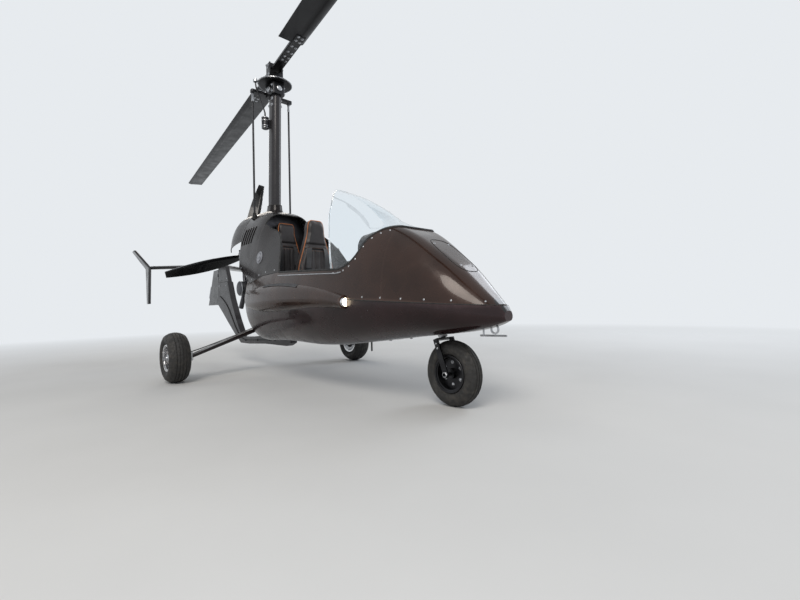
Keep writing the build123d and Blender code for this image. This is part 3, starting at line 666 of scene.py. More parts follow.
# Hull and cockpit edge
def edge_height(x):
    """Height of the cockpit's edge at station x: the rail, then an S of two arcs up to the deck."""
    if x <= RAIL_FRONT[0]:
        share = (x - RAIL_REAR[0]) / (RAIL_FRONT[0] - RAIL_REAR[0])
        return RAIL_REAR[1] + share * (RAIL_FRONT[1] - RAIL_REAR[1])
    run, rise = DECK_EDGE[0] - RAIL_FRONT[0], DECK_EDGE[1] - RAIL_FRONT[1]
    radius = (run * run + rise * rise) / (4 * rise)
    from_rail, from_deck = x - RAIL_FRONT[0], max(0.0, DECK_EDGE[0] - x)
    if from_rail < from_deck:
        return RAIL_FRONT[1] + radius - sqrt(radius ** 2 - from_rail ** 2)
    return DECK_EDGE[1] - radius + sqrt(radius ** 2 - from_deck ** 2)


def edge_line(stations, drop=0.003, inset=0.006):
    """Points along the port edge of the cockpit, in from the hull's outer face."""
    line = []
    for x in stations:
        z = edge_height(x)
        hit, _ = flank("hull_upper", x, z - drop)
        line.append(Vector((x, hit.y - inset, z)))
    return line


def joint_height(x):
    """Height of the seam between the hull's mouldings at station x."""
    return JOINT_Z - JOINT_FALL * (x - JOINT_X)


def upper_hull():
    """Upper moulding of the hull, with the cockpit's edge rising in an S to the deck."""
    bm = bmesh.new()
    seam = lambda x: max(joint_height(x) + 0.01, broken_value(COWL_SEAM, x))
    shell_grid(bm, HULL, HULL_WALL, between(-0.020, RAIL_REAR[0], 24), joint_height, seam)
    shell_grid(bm, HULL, HULL_WALL, between(RAIL_REAR[0], DECK_EDGE[0], 64), joint_height, edge_height)
    shell_grid(bm, HULL, HULL_WALL, between(DECK_EDGE[0], 2.447, 48), joint_height)
    made = solid("upper_hull", bm, PAINT_UPPER_LIT)
    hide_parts("hull_upper")
    nodes["hull_upper"] = made


def wall_top(x):
    """Upper edge of the shoulder wall at station x."""
    line = arc(RAIL_REAR, WALL_MID, WALL_TOP, 40) + [(BROW_X, BROW_Z)]
    return broken_value(sorted(line), x)


def cowl_shell():
    """Engine cowl: dome over the engine with shoulder walls along the rear seat, and the mast's collar."""
    bm = bmesh.new()
    low = lambda x: broken_value(COWL_SEAM, x)
    dome = between(-0.640, -0.187, 28) + between(-0.175, BROW_X, 24)
    shell_grid(bm, COWL, COWL_WALL, dome, low)
    walls = between(BROW_X, 0.640, 40) + [0.655, 0.668, 0.678, 0.686]
    shell_grid(bm, COWL, COWL_WALL, walls, low, lambda x: max(low(x) + 0.002, wall_top(x)))
    made = solid("cowl_shell", bm, COWL_PAINT)
    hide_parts("engine_cowl")
    nodes["engine_cowl"] = made
    collar = bmesh.new()
    flare = ((1.420, 0.056), (1.440, 0.046), (1.470, 0.026), (1.500, 0.014), (1.540, 0.009))
    slot_loft(collar, [(mast_at(z), MAST_LENGTH + 2 * margin, MAST_WIDTH + 2 * margin)
                       for z, margin in flare])
    solid("mast_collar", collar, COWL_PAINT, bevel=0.002)


def hood():
    """Hood over the instruments and the panel below it."""
    bm = bmesh.new()
    rim_height = lambda x: 0.905 + 0.05 * (x - 1.52)
    shell_grid(bm, HOOD, HOOD_WALL, between(1.520, 1.850, 24), rim_height, rows=16, crown_rows=10)
    made = solid("instrument_hood", bm, MATT_BLACK)
    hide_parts("glareshield")
    rim = both_halves([(half_at(HOOD, 1.520, z, 0.004), z) for z in between(0.905, 1.038, 18)])
    tube("hood_edge", [Vector((1.520, y, z)) for y, z in rim], 0.006, TRIM)
    plate = bmesh.new()
    side = [(half_at(HOOD, PANEL_X, z, HOOD_WALL - 0.001), z) for z in between(0.862, 1.038, 20)]
    loop = both_halves(side)
    skin(plate, [[plate.verts.new((x, y, z)) for y, z in loop] for x in (PANEL_X, PANEL_X + 0.010)])
    for y, z, radius in DIALS:
        turned(plate, [(radius, 0.0), (radius + 0.005, 0.0), (radius + 0.005, 0.005), (radius, 0.006)],
               axis((PANEL_X, y, z), -X), 40, ring=True)
    solid("instrument_panel", plate, MATT_BLACK)


def screen_point(x, turn):
    """Point on the windscreen at station x, at an angle from the foot to the crown."""
    foot = edge_height(x)
    crown = smooth_value([row[0] for row in SCREEN_CROWN], [row[1] for row in SCREEN_CROWN], x)
    half = half_at(HULL, max(x, RAIL_FRONT[0]), edge_height(max(x, RAIL_FRONT[0]))) - SCREEN_INSET
    crown_half = 0.06 * half
    y = crown_half + (half - crown_half) * cos(turn)
    return Vector((x, y, foot + max(0.004, crown - foot) * sin(turn)))


def rim_x(z):
    """Station of the windscreen's rear rim at height z."""
    line = arc(*SCREEN_RIM[:3], 30) + arc(*SCREEN_RIM[2:], 30)[1:]
    return broken_value(sorted((height, x) for x, height in line), z)


def windscreen_shell():
    """Raked frameless screen from the deck back to its curved rear rim."""
    port = []
    for turn in between(0, 0.5 * pi, 41):
        low, high = 1.000, 1.480
        for _ in range(40):
            x = (low + high) / 2
            if x < rim_x(min(SCREEN_RIM[-1][1], screen_point(x, turn).z)):
                low = x
            else:
                high = x
        port.append([screen_point(x + (1.850 - x) * k / 48, turn) for k in range(49)])
    port.insert(0, [p - 0.022 * Z for p in port[0]])
    bm = bmesh.new()
    lines = port + [[mirrored(p, -1) for p in line] for line in reversed(port)]
    grid = [[bm.verts.new(p) for p in line] for line in lines]
    for low_line, high_line in zip(grid, grid[1:]):
        for k in range(48):
            bm.faces.new((low_line[k], low_line[k + 1], high_line[k + 1], high_line[k]))
    made = solid("windscreen_shell", bm, GLAZING)
    thick = made.modifiers.new("wall", "SOLIDIFY")
    thick.thickness, thick.offset = SCREEN_WALL, -1.0
    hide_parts("windscreen")
    nodes["windscreen"] = made
    tube("screen_rim_bead", carried_over([line[0] for line in port[1:]]), 0.0034, GLAZING)


def cockpit_trim():
    """Rubber edge trim round the cockpit, from one shoulder wall over the deck to the other."""
    tube("cockpit_trim", carried_over(edge_line(between(0.700, 1.858, 64))), 0.0085, TRIM)
    for hand, side in HANDS:
        lip = [mirrored(p + Vector((0, 0.009, -0.024)), hand) for p in edge_line(between(0.70, 1.52, 30))]
        tube(f"sill_bead_{side}", lip, 0.0042, STEEL)


def moulding_joint():
    """Raised joint line between the hull's mouldings, with its row of screws."""
    line, places = [], []
    for i, x in enumerate(between(-0.010, 2.440, 72)):
        z = joint_height(x)
        hit, _ = flank("hull_upper", x, z + 0.002)
        if hit is None:
            continue
        line.append(hit)
        screw_hit, screw_normal = flank("hull_upper", x, z + 0.020)
        if i % 4 == 2 and screw_hit is not None and not 0.05 < x < 1.62:
            places.append((screw_hit, screw_normal))
    tip, _ = cast(nodes["hull_upper"], (3, 0, joint_height(2.445) + 0.003), (-1, 0, 0))
    tube("moulding_joint", carried_over(line, [tip]), 0.0028, TRIM)
    fasteners("moulding_screws", on_both_sides(places), 0.0055, kind=screw)


def screen_trim():
    """Screws that hold the windscreen's foot."""
    places = [flank("hull_upper", x, edge_height(x) - 0.022) for x in between(1.44, 1.83, 9)]
    fasteners("screen_screws", on_both_sides(places), 0.006, kind=screw)


def cowl_trim():
    """Bead along the shoulder walls' front edges and the seam between cowl and hull."""
    front = arc(RAIL_REAR, WALL_MID, WALL_TOP, 30) + [(BROW_X, BROW_Z)]
    crown = section(COWL, BROW_X)[1] - 0.004
    front += [(BROW_X, BROW_Z + (crown - BROW_Z) * sin(0.5 * pi * k / 12)) for k in range(1, 13)]
    line = [Vector((x, half_at(COWL, x, z, 0.004), z)) for x, z in front]
    tube("shoulder_trim", carried_over(line), 0.0065, TRIM)
    for hand, side in HANDS:
        seam, places = [], []
        for (x0, z0), (x1, z1) in zip(COWL_SEAM, COWL_SEAM[1:]):
            for share in between(0, 1, 12):
                x, z = x0 + share * (x1 - x0), z0 + share * (z1 - z0)
                hit, _ = flank("engine_cowl", x, z + 0.004, hand)
                if hit is None or hit.y * hand < 0.1 or x < -0.18:
                    continue
                seam.append(hit)
                above, up_normal = flank("engine_cowl", x, z + 0.026, hand)
                if above is not None and round(share * 11) in (2, 8):
                    places.append((above, up_normal))
        tube(f"cowl_seam_{side}", seam, 0.0026, TRIM)
        fasteners(f"cowl_screws_{side}", places, 0.0075, kind=screw)


def side_louvres():
    """Cooling louvres in the cowl: a raised lip over a thin matt black strip, painted shade where each
    opening would be.
    """
    for hand, side in HANDS:
        slot_shade, lips = bmesh.new(), bmesh.new()
        for row in range(5):
            foot_x = 0.045 - 0.052 * row
            path = [flank("engine_cowl", foot_x + 0.030 * share, 1.155 + 0.150 * share, hand)
                    for share in between(0, 1, 8)]
            # matt black strip on the cowl's face: painted shade standing in for the louvre's opening
            ribbon(slot_shade, path, 0.014, 0.0012)
            ribbon(lips, [(hit + 0.010 * X, normal) for hit, normal in path], 0.009, 0.0055)
        solid(f"louvre_shade_{side}", slot_shade, MATT_BLACK)
        solid(f"louvre_lips_{side}", lips, COWL_PAINT, bevel=0.002)


def fuel_cap():
    """Filler cap on the starboard shoulder."""
    hit, normal = flank("engine_cowl", 0.300, 1.000, -1)
    bm = bmesh.new()
    turned(bm, [(0.052, -0.004), (0.052, 0.003), (0.048, 0.006), (0.040, 0.006), (0.038, 0.003),
                (0.036, 0.003), (0.034, 0.009), (0.030, 0.011)], axis(hit, normal), 48)
    block(bm, axis(hit + 0.012 * normal, normal), (0.046, 0.010, 0.006))
    solid("fuel_cap", bm, ALUMINIUM)


def nose_details():
    """Access hatch on the nose and the tow eye below it."""
    hatch = []
    for turn in around(48):
        x = 2.140 + 0.130 * copysign(abs(cos(turn)) ** 0.6, cos(turn))
        y = 0.085 * copysign(abs(sin(turn)) ** 0.6, sin(turn))
        hatch.append(from_above("hull_upper", x, y)[0])
    tube("nose_hatch_seam", hatch, 0.0022, TRIM, closed=True)
    corners = ((2.05, 0.06), (2.05, -0.06), (2.23, 0.05), (2.23, -0.05))
    places = [from_above("hull_upper", x, y) for x, y in corners]
    fasteners("nose_hatch_screws", places, 0.007, kind=screw)
    eye, _ = cast(nodes["hull_lower"], (2.400, 0, 0), (0, 0, 1))
    link = [(0.017, -0.004), (0.025, -0.004), (0.026, 0), (0.025, 0.004), (0.017, 0.004), (0.016, 0)]
    lathe("tow_eye", STEEL, link, axis(eye - 0.014 * Z, Y), ring=True)


def pod_grips():
    """Anti-slip strip on the top of each side pod."""
    for hand, side in HANDS:
        bm = bmesh.new()
        pod = nodes[f"side_pod_{side}"]
        path = [cast(pod, (x, hand * 0.372, 1.0), (0, 0, -1)) for x in between(0.50, 1.04, 14)]
        ribbon(bm, path, 0.036, 0.0014)
        solid(f"step_grip_{side}", bm, MATT_BLACK)


def landing_lights():
    """Lit lamp in each pod's front face: bowl, bulb and bezel, cut flush with the hull."""
    for hand, side in HANDS:
        centre = Vector((1.560, hand * 0.347, 0.598))
        at = axis(centre, X)
        profiles = {
            "bezel": ([(0.0295, 0.0), (0.030, 0.018), (0.0285, 0.0235), (0.0255, 0.0235), (0.0250, 0.019),
                       (0.0250, 0.0)], CHROME, True),
            "bowl": ([(0.0248, 0.0185), (0.020, 0.011), (0.012, 0.005), (0.006, 0.003)], LAMP, False),
            "bulb": ([(0.0075, 0.003), (0.0080, 0.012), (0.0055, 0.018), (0.002, 0.0195)], LAMP, False),
        }
        for part, (profile, look, ring) in profiles.items():
            bm = bmesh.new()
            turned(bm, profile, at, 40, ring)
            cut = centre - hand * 0.008 * Y
            every = bm.verts[:] + bm.edges[:] + bm.faces[:]
            bmesh.ops.bisect_plane(bm, geom=every, plane_co=cut, plane_no=(0, -hand, 0), clear_outer=True)
            solid(f"light_{part}_{side}", bm, look)
        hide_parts(f"landing_light_{side}")


# Instruments and controls
def instruments():
    """Dial faces with ticks and needles, switches below them and screws at the panel's corners."""
    faces, marks = bmesh.new(), bmesh.new()
    for y, z, radius in DIALS:
        centre = Vector((PANEL_X - 0.0012, y, z))
        turned(faces, [(radius * 0.995, 0.0012), (radius * 0.98, -0.0008), (0.3 * radius, -0.0008)],
               axis(centre, -X), 40)
        for step in range(11):
            turn = radians(225 - 27 * step)
            spoke = Vector((0, -cos(turn), sin(turn)))
            at = axis(centre - 0.0014 * X + 0.80 * radius * spoke, spoke)
            block(marks, at, (0.0012, 0.0012, 0.14 * radius))
        turn = radians(150 if radius > 0.03 else 60)
        spoke = Vector((0, -cos(turn), sin(turn)))
        block(marks, axis(centre - 0.0022 * X + 0.30 * radius * spoke, spoke), (0.0016, 0.0016, 0.8 * radius))
    solid("dial_faces", faces, MATT_BLACK)
    solid("dial_marks", marks, WHITE_MARK)
    switches = bmesh.new()
    for y in (-0.045, -0.015, 0.015, 0.045):
        foot = Vector((PANEL_X, y, 0.884))
        turned(switches, [(0.0065, -0.001), (0.0065, 0.002), (0.005, 0.003)], axis(foot, -X), 20)
        turned(switches, [(0.0016, 0.0), (0.0026, 0.018), (0.0022, 0.020)], axis(foot, -X + 0.5 * Z), 12)
    solid("panel_switches", switches, CHROME)
    corners = ((-0.165, 0.975), (0.165, 0.975), (-0.150, 0.868), (0.150, 0.868))
    fasteners("panel_screws", [(Vector((PANEL_X, y, z)), -X) for y, z in corners], 0.004, kind=screw)


def controls():
    """Boot and grip of the stick, throttle lever on the port side, and ribs on the pedals."""
    foot, top = Vector((STICK_X, 0, 0.330)), Vector((STICK_X - 0.004, 0, 0.800))
    stick = bmesh.new()
    turned(stick, [(0.011, 0.0), (0.011, 0.472)], axis(foot, top - foot), 24)
    turned(stick, [(0.030, -0.014), (0.030, 0.016), (0.022, 0.020)], axis(foot, top - foot), 28)
    solid("stick_tube", stick, BLACK_STEEL)
    bellows = [(0.046 - 0.0048 * i + (0.006 if i % 2 else 0.0), 0.010 * i) for i in range(7)]
    lathe("stick_boot", TRIM, [(0.054, -0.012), (0.052, -0.004)] + bellows, axis(foot + 0.02 * Z, top - foot))
    profile = [(0.0195, 0.0)] + [(0.0195 + 0.0016 * (i % 2), 0.012 + 0.009 * i) for i in range(9)]
    profile += [(0.0205, 0.100), (0.016, 0.109), (0.006, 0.112)]
    lathe("stick_grip", TRIM, profile, axis(top - 0.004 * Z, Vector((-0.076, 0, 1))), 28)
    lathe("stick_button", THREAD, [(0.005, -0.004), (0.005, 0.005), (0.003, 0.006)],
          axis(top + Vector((-0.022, 0, 0.085)), -X), 16)
    wall, normal = cast(nodes["hull_lower"], (1.02, 0.1, 0.60), (0, 1, 0))
    lever = bmesh.new()
    block(lever, axis(wall + 0.012 * normal, normal), (0.16, 0.060, 0.030))
    pivot, lean = wall + 0.030 * normal, Vector((0.3, 0, 1))
    turned(lever, [(0.006, 0.0), (0.005, 0.13)], axis(pivot, lean), 16)
    solid("throttle_box", lever, BLACK_STEEL, bevel=0.003)
    knob = [(0.010, -0.008), (0.016, 0.004), (0.017, 0.018), (0.012, 0.030), (0.004, 0.034)]
    lathe("throttle_knob", TRIM, knob, axis(pivot + 0.13 * lean.normalized(), lean), 24)
    for hand, side in HANDS:
        pedal, ribs = bmesh.new(), bmesh.new()
        at = Matrix.Translation((PEDAL_X, hand * PEDAL_Y, 0.535)) @ Matrix.Rotation(radians(18), 4, "Y")
        block(pedal, at, (0.008, 0.078, 0.130))
        block(pedal, at @ Matrix.Translation((0.008, 0, -0.055)), (0.014, 0.030, 0.020))
        turned(pedal, [(0.009, 0.0), (0.009, 0.135)], axis((PEDAL_X - 0.004, hand * PEDAL_Y, 0.352), Z), 20)
        for share in between(-0.050, 0.050, 7):
            block(ribs, at @ Matrix.Translation((-0.006, 0, share)), (0.004, 0.066, 0.005))
        solid(f"rudder_pedal_{side}", pedal, ALUMINIUM, bevel=0.002)
        solid(f"pedal_ribs_{side}", ribs, TRIM, bevel=0.001)


# Soft parts


def back_blank(seat):
    """Plain solid of a seat back's outline, drawn in on all sides by the shrink."""
    bm = bmesh.new()
    side = [(y - SHRINK, z) for y, z in BACK_OUTLINE if z > 0]
    side = [(BACK_OUTLINE[0][0] - SHRINK, SHRINK)] + side + [(0.050, seat["height"] - SHRINK)]
    low_x, high_x = seat["face_x"] - BACK_THICK + SHRINK, seat["face_x"] - SHRINK
    loop = both_halves(side)
    skin(bm, [[bm.verts.new((x, y, seat["foot_z"] + z)) for y, z in loop] for x in (high_x, low_x)])
    bmesh.ops.recalc_face_normals(bm, faces=bm.faces)
    mesh = bpy.data.meshes.new("back_blank")
    bm.to_mesh(mesh)
    bm.free()
    return mesh


def stuffed(name, node, voxel, cap, blank=None):
    """Padded copy of a soft solid: shrunk, remeshed, blown up as cloth and kept inside its space."""
    low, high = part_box(node)
    centre, half = (low + high) / 2, (high - low) / 2
    mesh = blank or nodes[node].data.copy()
    mesh.name = name
    mesh.materials.clear()
    if blank is None:
        for vertex in mesh.vertices:
            for k in range(3):
                shift = vertex.co[k] - centre[k]
                vertex.co[k] = centre[k] + shift * (half[k] - SHRINK) / half[k]
    made = bpy.data.objects.new(name, mesh)
    scene.collection.objects.link(made)
    remesh = made.modifiers.new("remesh", "REMESH")
    remesh.mode, remesh.voxel_size = "VOXEL", voxel
    apply_modifiers(made)
    relax(made.data, 6)
    inflate(made, cap)
    for vertex in made.data.vertices:
        for k in range(3):
            vertex.co[k] = min(high[k] + 0.002, max(low[k] + 0.0005, vertex.co[k]))
    relax(made.data, 2)
    finer = made.modifiers.new("finer", "SUBSURF")
    finer.levels = finer.render_levels = 1
    apply_modifiers(made)
    made.data.shade_smooth()
    made.data.materials.append(SEAT_LEATHER)
    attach(made, "airframe")
    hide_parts(node)
    return made


def apply_modifiers(made):
    """Swaps the piece's mesh for what its modifiers make of it."""
    bpy.context.view_layer.update()
    evaluated = made.evaluated_get(bpy.context.evaluated_depsgraph_get())
    mesh = bpy.data.meshes.new_from_object(evaluated)
    made.modifiers.clear()
    old, made.data = made.data, mesh
    mesh.name = made.name
    bpy.data.meshes.remove(old)


def relax(mesh, rounds):
    """Smooths a mesh a little, so that the remesh leaves no steps."""
    bm = bmesh.new()
    bm.from_mesh(mesh)
    every_axis = {"use_axis_x": True, "use_axis_y": True, "use_axis_z": True}
    for _ in range(rounds):
        bmesh.ops.smooth_vert(bm, verts=bm.verts, factor=0.5, **every_axis)
    bm.to_mesh(mesh)
    bm.free()


def inflate(made, cap):
    """Blows the piece up with cloth pressure, moving no point by more than the cap."""
    rest = [v.co.copy() for v in made.data.vertices]
    cloth = made.modifiers.new("cloth", "CLOTH")
    settings = cloth.settings
    settings.use_pressure = True
    settings.uniform_pressure_force = CLOTH_PRESSURE
    settings.effector_weights.gravity = 0.0
    settings.quality = 5
    cloth.point_cache.frame_start, cloth.point_cache.frame_end = 1, CLOTH_FRAMES
    for number in range(1, CLOTH_FRAMES + 1):
        scene.frame_set(number)
    evaluated = made.evaluated_get(bpy.context.evaluated_depsgraph_get())
    blown = [v.co.copy() for v in evaluated.data.vertices]
    made.modifiers.clear()
    scene.frame_set(1)
    for vertex, start, end in zip(made.data.vertices, rest, blown):
        move = end - start
        if move.length > cap:
            move *= cap / move.length
        vertex.co = start + move


def sink(made, depth_at):
    """Presses seams and channels into a padded piece, along its normals."""
    mesh = made.data
    normals = [v.normal.copy() for v in mesh.vertices]
    for vertex, normal in zip(mesh.vertices, normals):
        vertex.co -= depth_at(vertex.co, normal) * normal


def valley(distance, depth, width):
    return depth * exp(-(distance / width) ** 2)


def cushion_seams(seat):
    """Depth of a cushion's channels and border seam at a point."""
    rear, front = seat["face_x"] + CUSHION_REAR, seat["front_x"] - CUSHION_FRONT

    def depth_at(point, normal):
        if normal.z < 0.35:
            return 0.0
        inside = min(point.x - rear, front - point.x, CUSHION_BORDER - abs(point.y))
        border = valley(inside, *BORDER_SEAM)
        if inside < 0.004:
            return border
        return max(border, max(valley(point.y - y, *CHANNEL_SEAM) for y in CHANNELS))
    return depth_at


def back_half_width(up):
    """Half width of a seat back at a height above its foot."""
    return broken_value([(z, y) for y, z in BACK_OUTLINE], up)


def back_seams(seat):
    """Depth of a seat back's channels, border seam and headrest fold at a point."""
    def depth_at(point, normal):
        if normal.x < 0.35:
            return 0.0
        up = point.z - seat["foot_z"]
        half = back_half_width(up) - BACK_BORDER
        inside = min(half - abs(point.y), up - 0.100, 0.600 - up)
        border = valley(inside, *BORDER_SEAM)
        fold = valley(up - HEADREST_FOLD, *FOLD_SEAM)
        if inside < 0.004:
            return max(border, fold)
        return max(border, fold, max(valley(point.y - y, *CHANNEL_SEAM) for y in CHANNELS))
    return depth_at


def pad_point(pad, start, direction, corner, lift):
    """Point on a pad along a line, or the pad's nearest point to a corner that the line misses."""
    hit, normal = cast(pad, start, direction)
    if hit is None:
        hit, normal, _, _ = TREES[pad.name].find_nearest(corner)
    return hit + lift * normal, normal


def on_cushion(pad, x, y, lift=0.0):
    top = max(corner[2] for corner in pad.bound_box) - 0.020
    return pad_point(pad, (x, y, 2.0), (0, 0, -1), Vector((x, y, top)), lift)


def on_back(pad, y, z, lift=0.0):
    face = max(corner[0] for corner in pad.bound_box) - 0.020
    return pad_point(pad, (face + 0.3, y, z), (-1, 0, 0), Vector((face, y, z)), lift)


def stitches(bm, path):
    """Short threads along a path of close (point, normal) pairs."""
    pitch, length, radius = 0.0085, 0.0052, 0.0007
    travelled, due = 0.0, 0.0
    for (start, normal), (end, _) in zip(path, path[1:]):
        run = (end - start).length
        travelled += run
        if travelled >= due and run > 1e-6:
            at = axis((start + end) / 2 + 0.0004 * normal, end - start)
            turned(bm, [(0.4 * radius, -length / 2), (radius, -0.3 * length), (radius, 0.3 * length),
                        (0.4 * radius, length / 2)], at, 6)
            due = travelled + pitch


def seat_piping(name, seat, cushion, back):
    """Light piping on the back's outline and the cushion's front edge, and stitches by the seams."""
    outline = []
    for up in between(0.06, 0.815, 56):
        outline.append((back_half_width(up) - 0.017, seat["foot_z"] + up))
    top_half, top_z = outline[-1]
    crown = [(top_half * cos(a), top_z + 0.028 * sin(a)) for a in between(0.15, pi - 0.15, 18)]
    path = outline + crown + [(-y, z) for y, z in reversed(outline)]
    tube(f"{name}_back_piping", [on_back(back, y, z, 0.0005)[0] for y, z in path], 0.0036, PIPING)
    half, rear, front = 0.190, seat["face_x"] + 0.030, seat["front_x"] - 0.020
    rim = [(x, half) for x in between(rear, front - 0.050, 24)]
    rim += [(front - 0.050 + 0.050 * sin(a), half - 0.050 + 0.050 * cos(a))
            for a in between(0.1, pi / 2, 10)]
    rim += [(x, -y) for x, y in reversed(rim)]
    tube(f"{name}_cushion_piping", [on_cushion(cushion, x, y, 0.0005)[0] for x, y in rim], 0.0034, PIPING)
    bm = bmesh.new()
    for inset in (0.013, -0.009):
        rear_x, front_x = seat["face_x"] + CUSHION_REAR - inset, seat["front_x"] - CUSHION_FRONT + inset
        edge = CUSHION_BORDER + inset
        loop = [(x, edge) for x in between(rear_x, front_x, 90)]
        loop += [(front_x, y) for y in between(edge, -edge, 90)]
        loop += [(x, -edge) for x in between(front_x, rear_x, 90)]
        stitches(bm, [on_cushion(cushion, x, y) for x, y in loop])
        for hand in (1, -1):
            side = [(hand * (back_half_width(up) - BACK_BORDER + inset), seat["foot_z"] + up)
                    for up in between(0.10, 0.60, 130)]
            stitches(bm, [on_back(back, y, z) for y, z in side])
        top = back_half_width(0.60) - BACK_BORDER
        stitches(bm, [on_back(back, y, seat["foot_z"] + 0.600 + inset) for y in between(-top, top, 50)])
    solid(f"{name}_stitches", bm, THREAD)


def bridged(touch, y, lift):
    """Point over the ridges beside a strap's middle, and the mean normal there."""
    hits = [touch(y + shift) for shift in (-0.018, 0.0, 0.018)]
    normal = sum((n for _, n in hits), Vector()).normalized()
    middle = hits[1][0]
    top = max(p.dot(normal) for p, _ in hits)
    return middle + (top - middle.dot(normal) + lift) * normal, normal


def ironed(path, rounds=4):
    """Strap's points and normals without their small dents; the ends stay."""
    for _ in range(rounds):
        inner = [((a + 2 * b + c) / 4, (m + 2 * n + o).normalized())
                 for (a, m), (b, n), (c, o) in zip(path, path[1:], path[2:])]
        path = path[:1] + inner + path[-1:]
    return path


def harness(name, seat, cushion, back):
    """Four-point harness lying on the seat: two shoulder straps, a lap belt and the buckle."""
    straps, hardware = bmesh.new(), bmesh.new()
    buckle_x = seat["face_x"] + 0.190
    middle, up = on_cushion(cushion, buckle_x, 0, 0.004)
    for hand in (1, -1):
        path = []
        for share in between(0, 1, 30):
            y = hand * (0.070 + 0.020 * sin(pi * share))
            z = seat["foot_z"] + 0.642 - 0.507 * share
            path.append(bridged(lambda at: on_back(back, at, z), y, -0.012 if share == 0 else 0.002))
        corner = path[-1][0]
        for share in between(0.15, 1.0, 10):
            x = corner.x + 0.020 + share * (buckle_x - corner.x - 0.050)
            y = hand * (0.074 - 0.050 * share)
            path.append(bridged(lambda at: on_cushion(cushion, x, at), y, 0.0022))
        path = ironed(path)
        ribbon(straps, path, 0.044, 0.0022)
        slide, slide_up = path[12]
        block(hardware, axis(slide + 0.003 * slide_up, slide_up), (0.060, 0.034, 0.005))
        lap = []
        for share in between(0, 1, 16):
            x = seat["face_x"] + 0.070 + share * (buckle_x - seat["face_x"] - 0.070)
            y = hand * (0.190 - 0.170 * share)
            lap.append(bridged(lambda at: on_cushion(cushion, x, at), y, 0.0024 + 0.002 * share))
        lap = ironed(lap)
        ribbon(straps, lap, 0.044, 0.0022)
        anchor, anchor_up = lap[1]
        block(hardware, axis(anchor + 0.002 * anchor_up, anchor_up), (0.052, 0.036, 0.005))
    solid(f"{name}_harness", straps, STRAP)
    turned(hardware, [(0.034, 0.0), (0.036, 0.004), (0.036, 0.018), (0.031, 0.024), (0.018, 0.026)],
           axis(middle, up), 36)
    solid(f"{name}_buckles", hardware, BLACK_STEEL, bevel=0.0015)
    lathe(f"{name}_buckle_knob", PIPING, [(0.014, 0.024), (0.014, 0.029), (0.011, 0.031)],
          axis(middle, up), 28)


def seats():
    """Padded cushion and back of each seat, with piping, stitches and harness."""
    for name, seat in SEATS.items():
        cushion = stuffed(f"{name}_cushion_pad", f"{name}_seat_cushion", 0.0065, 0.024)
        sink(cushion, cushion_seams(seat))
        back = stuffed(f"{name}_back_pad", f"{name}_seat_back", 0.0080, 0.024, back_blank(seat))
        sink(back, back_seams(seat))
        seat_piping(name, seat, cushion, back)
        harness(name, seat, cushion, back)


# Mast and rotor head
def mast_at(z):
    """Centre of the mast at a height."""
    return MAST_FOOT.lerp(MAST_TOP, (z - MAST_FOOT.z) / (MAST_TOP.z - MAST_FOOT.z))


def mast_fittings():
    """Cable sleeves clipped to the mast's rear edge, collar seal and the boots of the control rods."""
    for y in (0.012, -0.012):
        line = [Vector((mast_at(z).x - 0.0775 + 0.0045 * (z - 0.3), y, z)) for z in between(1.545, 2.545, 12)]
        tube(f"mast_sleeve_{'left' if y > 0 else 'right'}", line, 0.0045, TRIM)
    clips = [(Vector((mast_at(z).x - 0.0755 + 0.0045 * (z - 0.3), 0, z)), (0.016, 0.046, 0.012))
             for z in between(1.65, 2.50, 6)]
    boxes("mast_clips", BLACK_STEEL, clips, bevel=0.003)
    seal = []
    centre, half = mast_at(1.541), MAST_WIDTH / 2 + 0.004
    for turn in around(64):
        x = centre.x + copysign(MAST_LENGTH / 2 - MAST_WIDTH / 2, cos(turn)) + half * cos(turn)
        seal.append(Vector((x, half * sin(turn), 1.541)))
    tube("mast_seal", seal, 0.006, TRIM, closed=True)
    for hand, side in HANDS:
        foot, top = mirrored(ROD_FOOT, hand), mirrored(ROD_TOP, hand)
        lean = (top - foot).normalized()
        entry, _ = cast(nodes["engine_cowl"], foot + 0.25 * lean + 0.012 * X, -lean)
        start = foot + lean * ((entry.z if entry else 1.46) - foot.z)
        bellows = [(0.021 - 0.0016 * i + (0.004 if i % 2 else 0.0), 0.008 * i) for i in range(7)]
        lathe(f"rod_boot_{side}", TRIM, [(0.028, -0.012), (0.027, -0.001)] + bellows, axis(start, lean), 28)
        end = bmesh.new()
        turned(end, [(0.0105, -0.075), (0.0125, -0.072), (0.0125, -0.052), (0.0105, -0.050), (0.0105, -0.014),
                     (0.0145, -0.012), (0.0150, 0.0)], axis(top, lean), 6)
        turned(end, [(0.012, 0.026), (0.012, 0.034), (0.009, 0.037)], axis(top, Z), 6)
        solid(f"rod_end_{side}", end, STEEL)


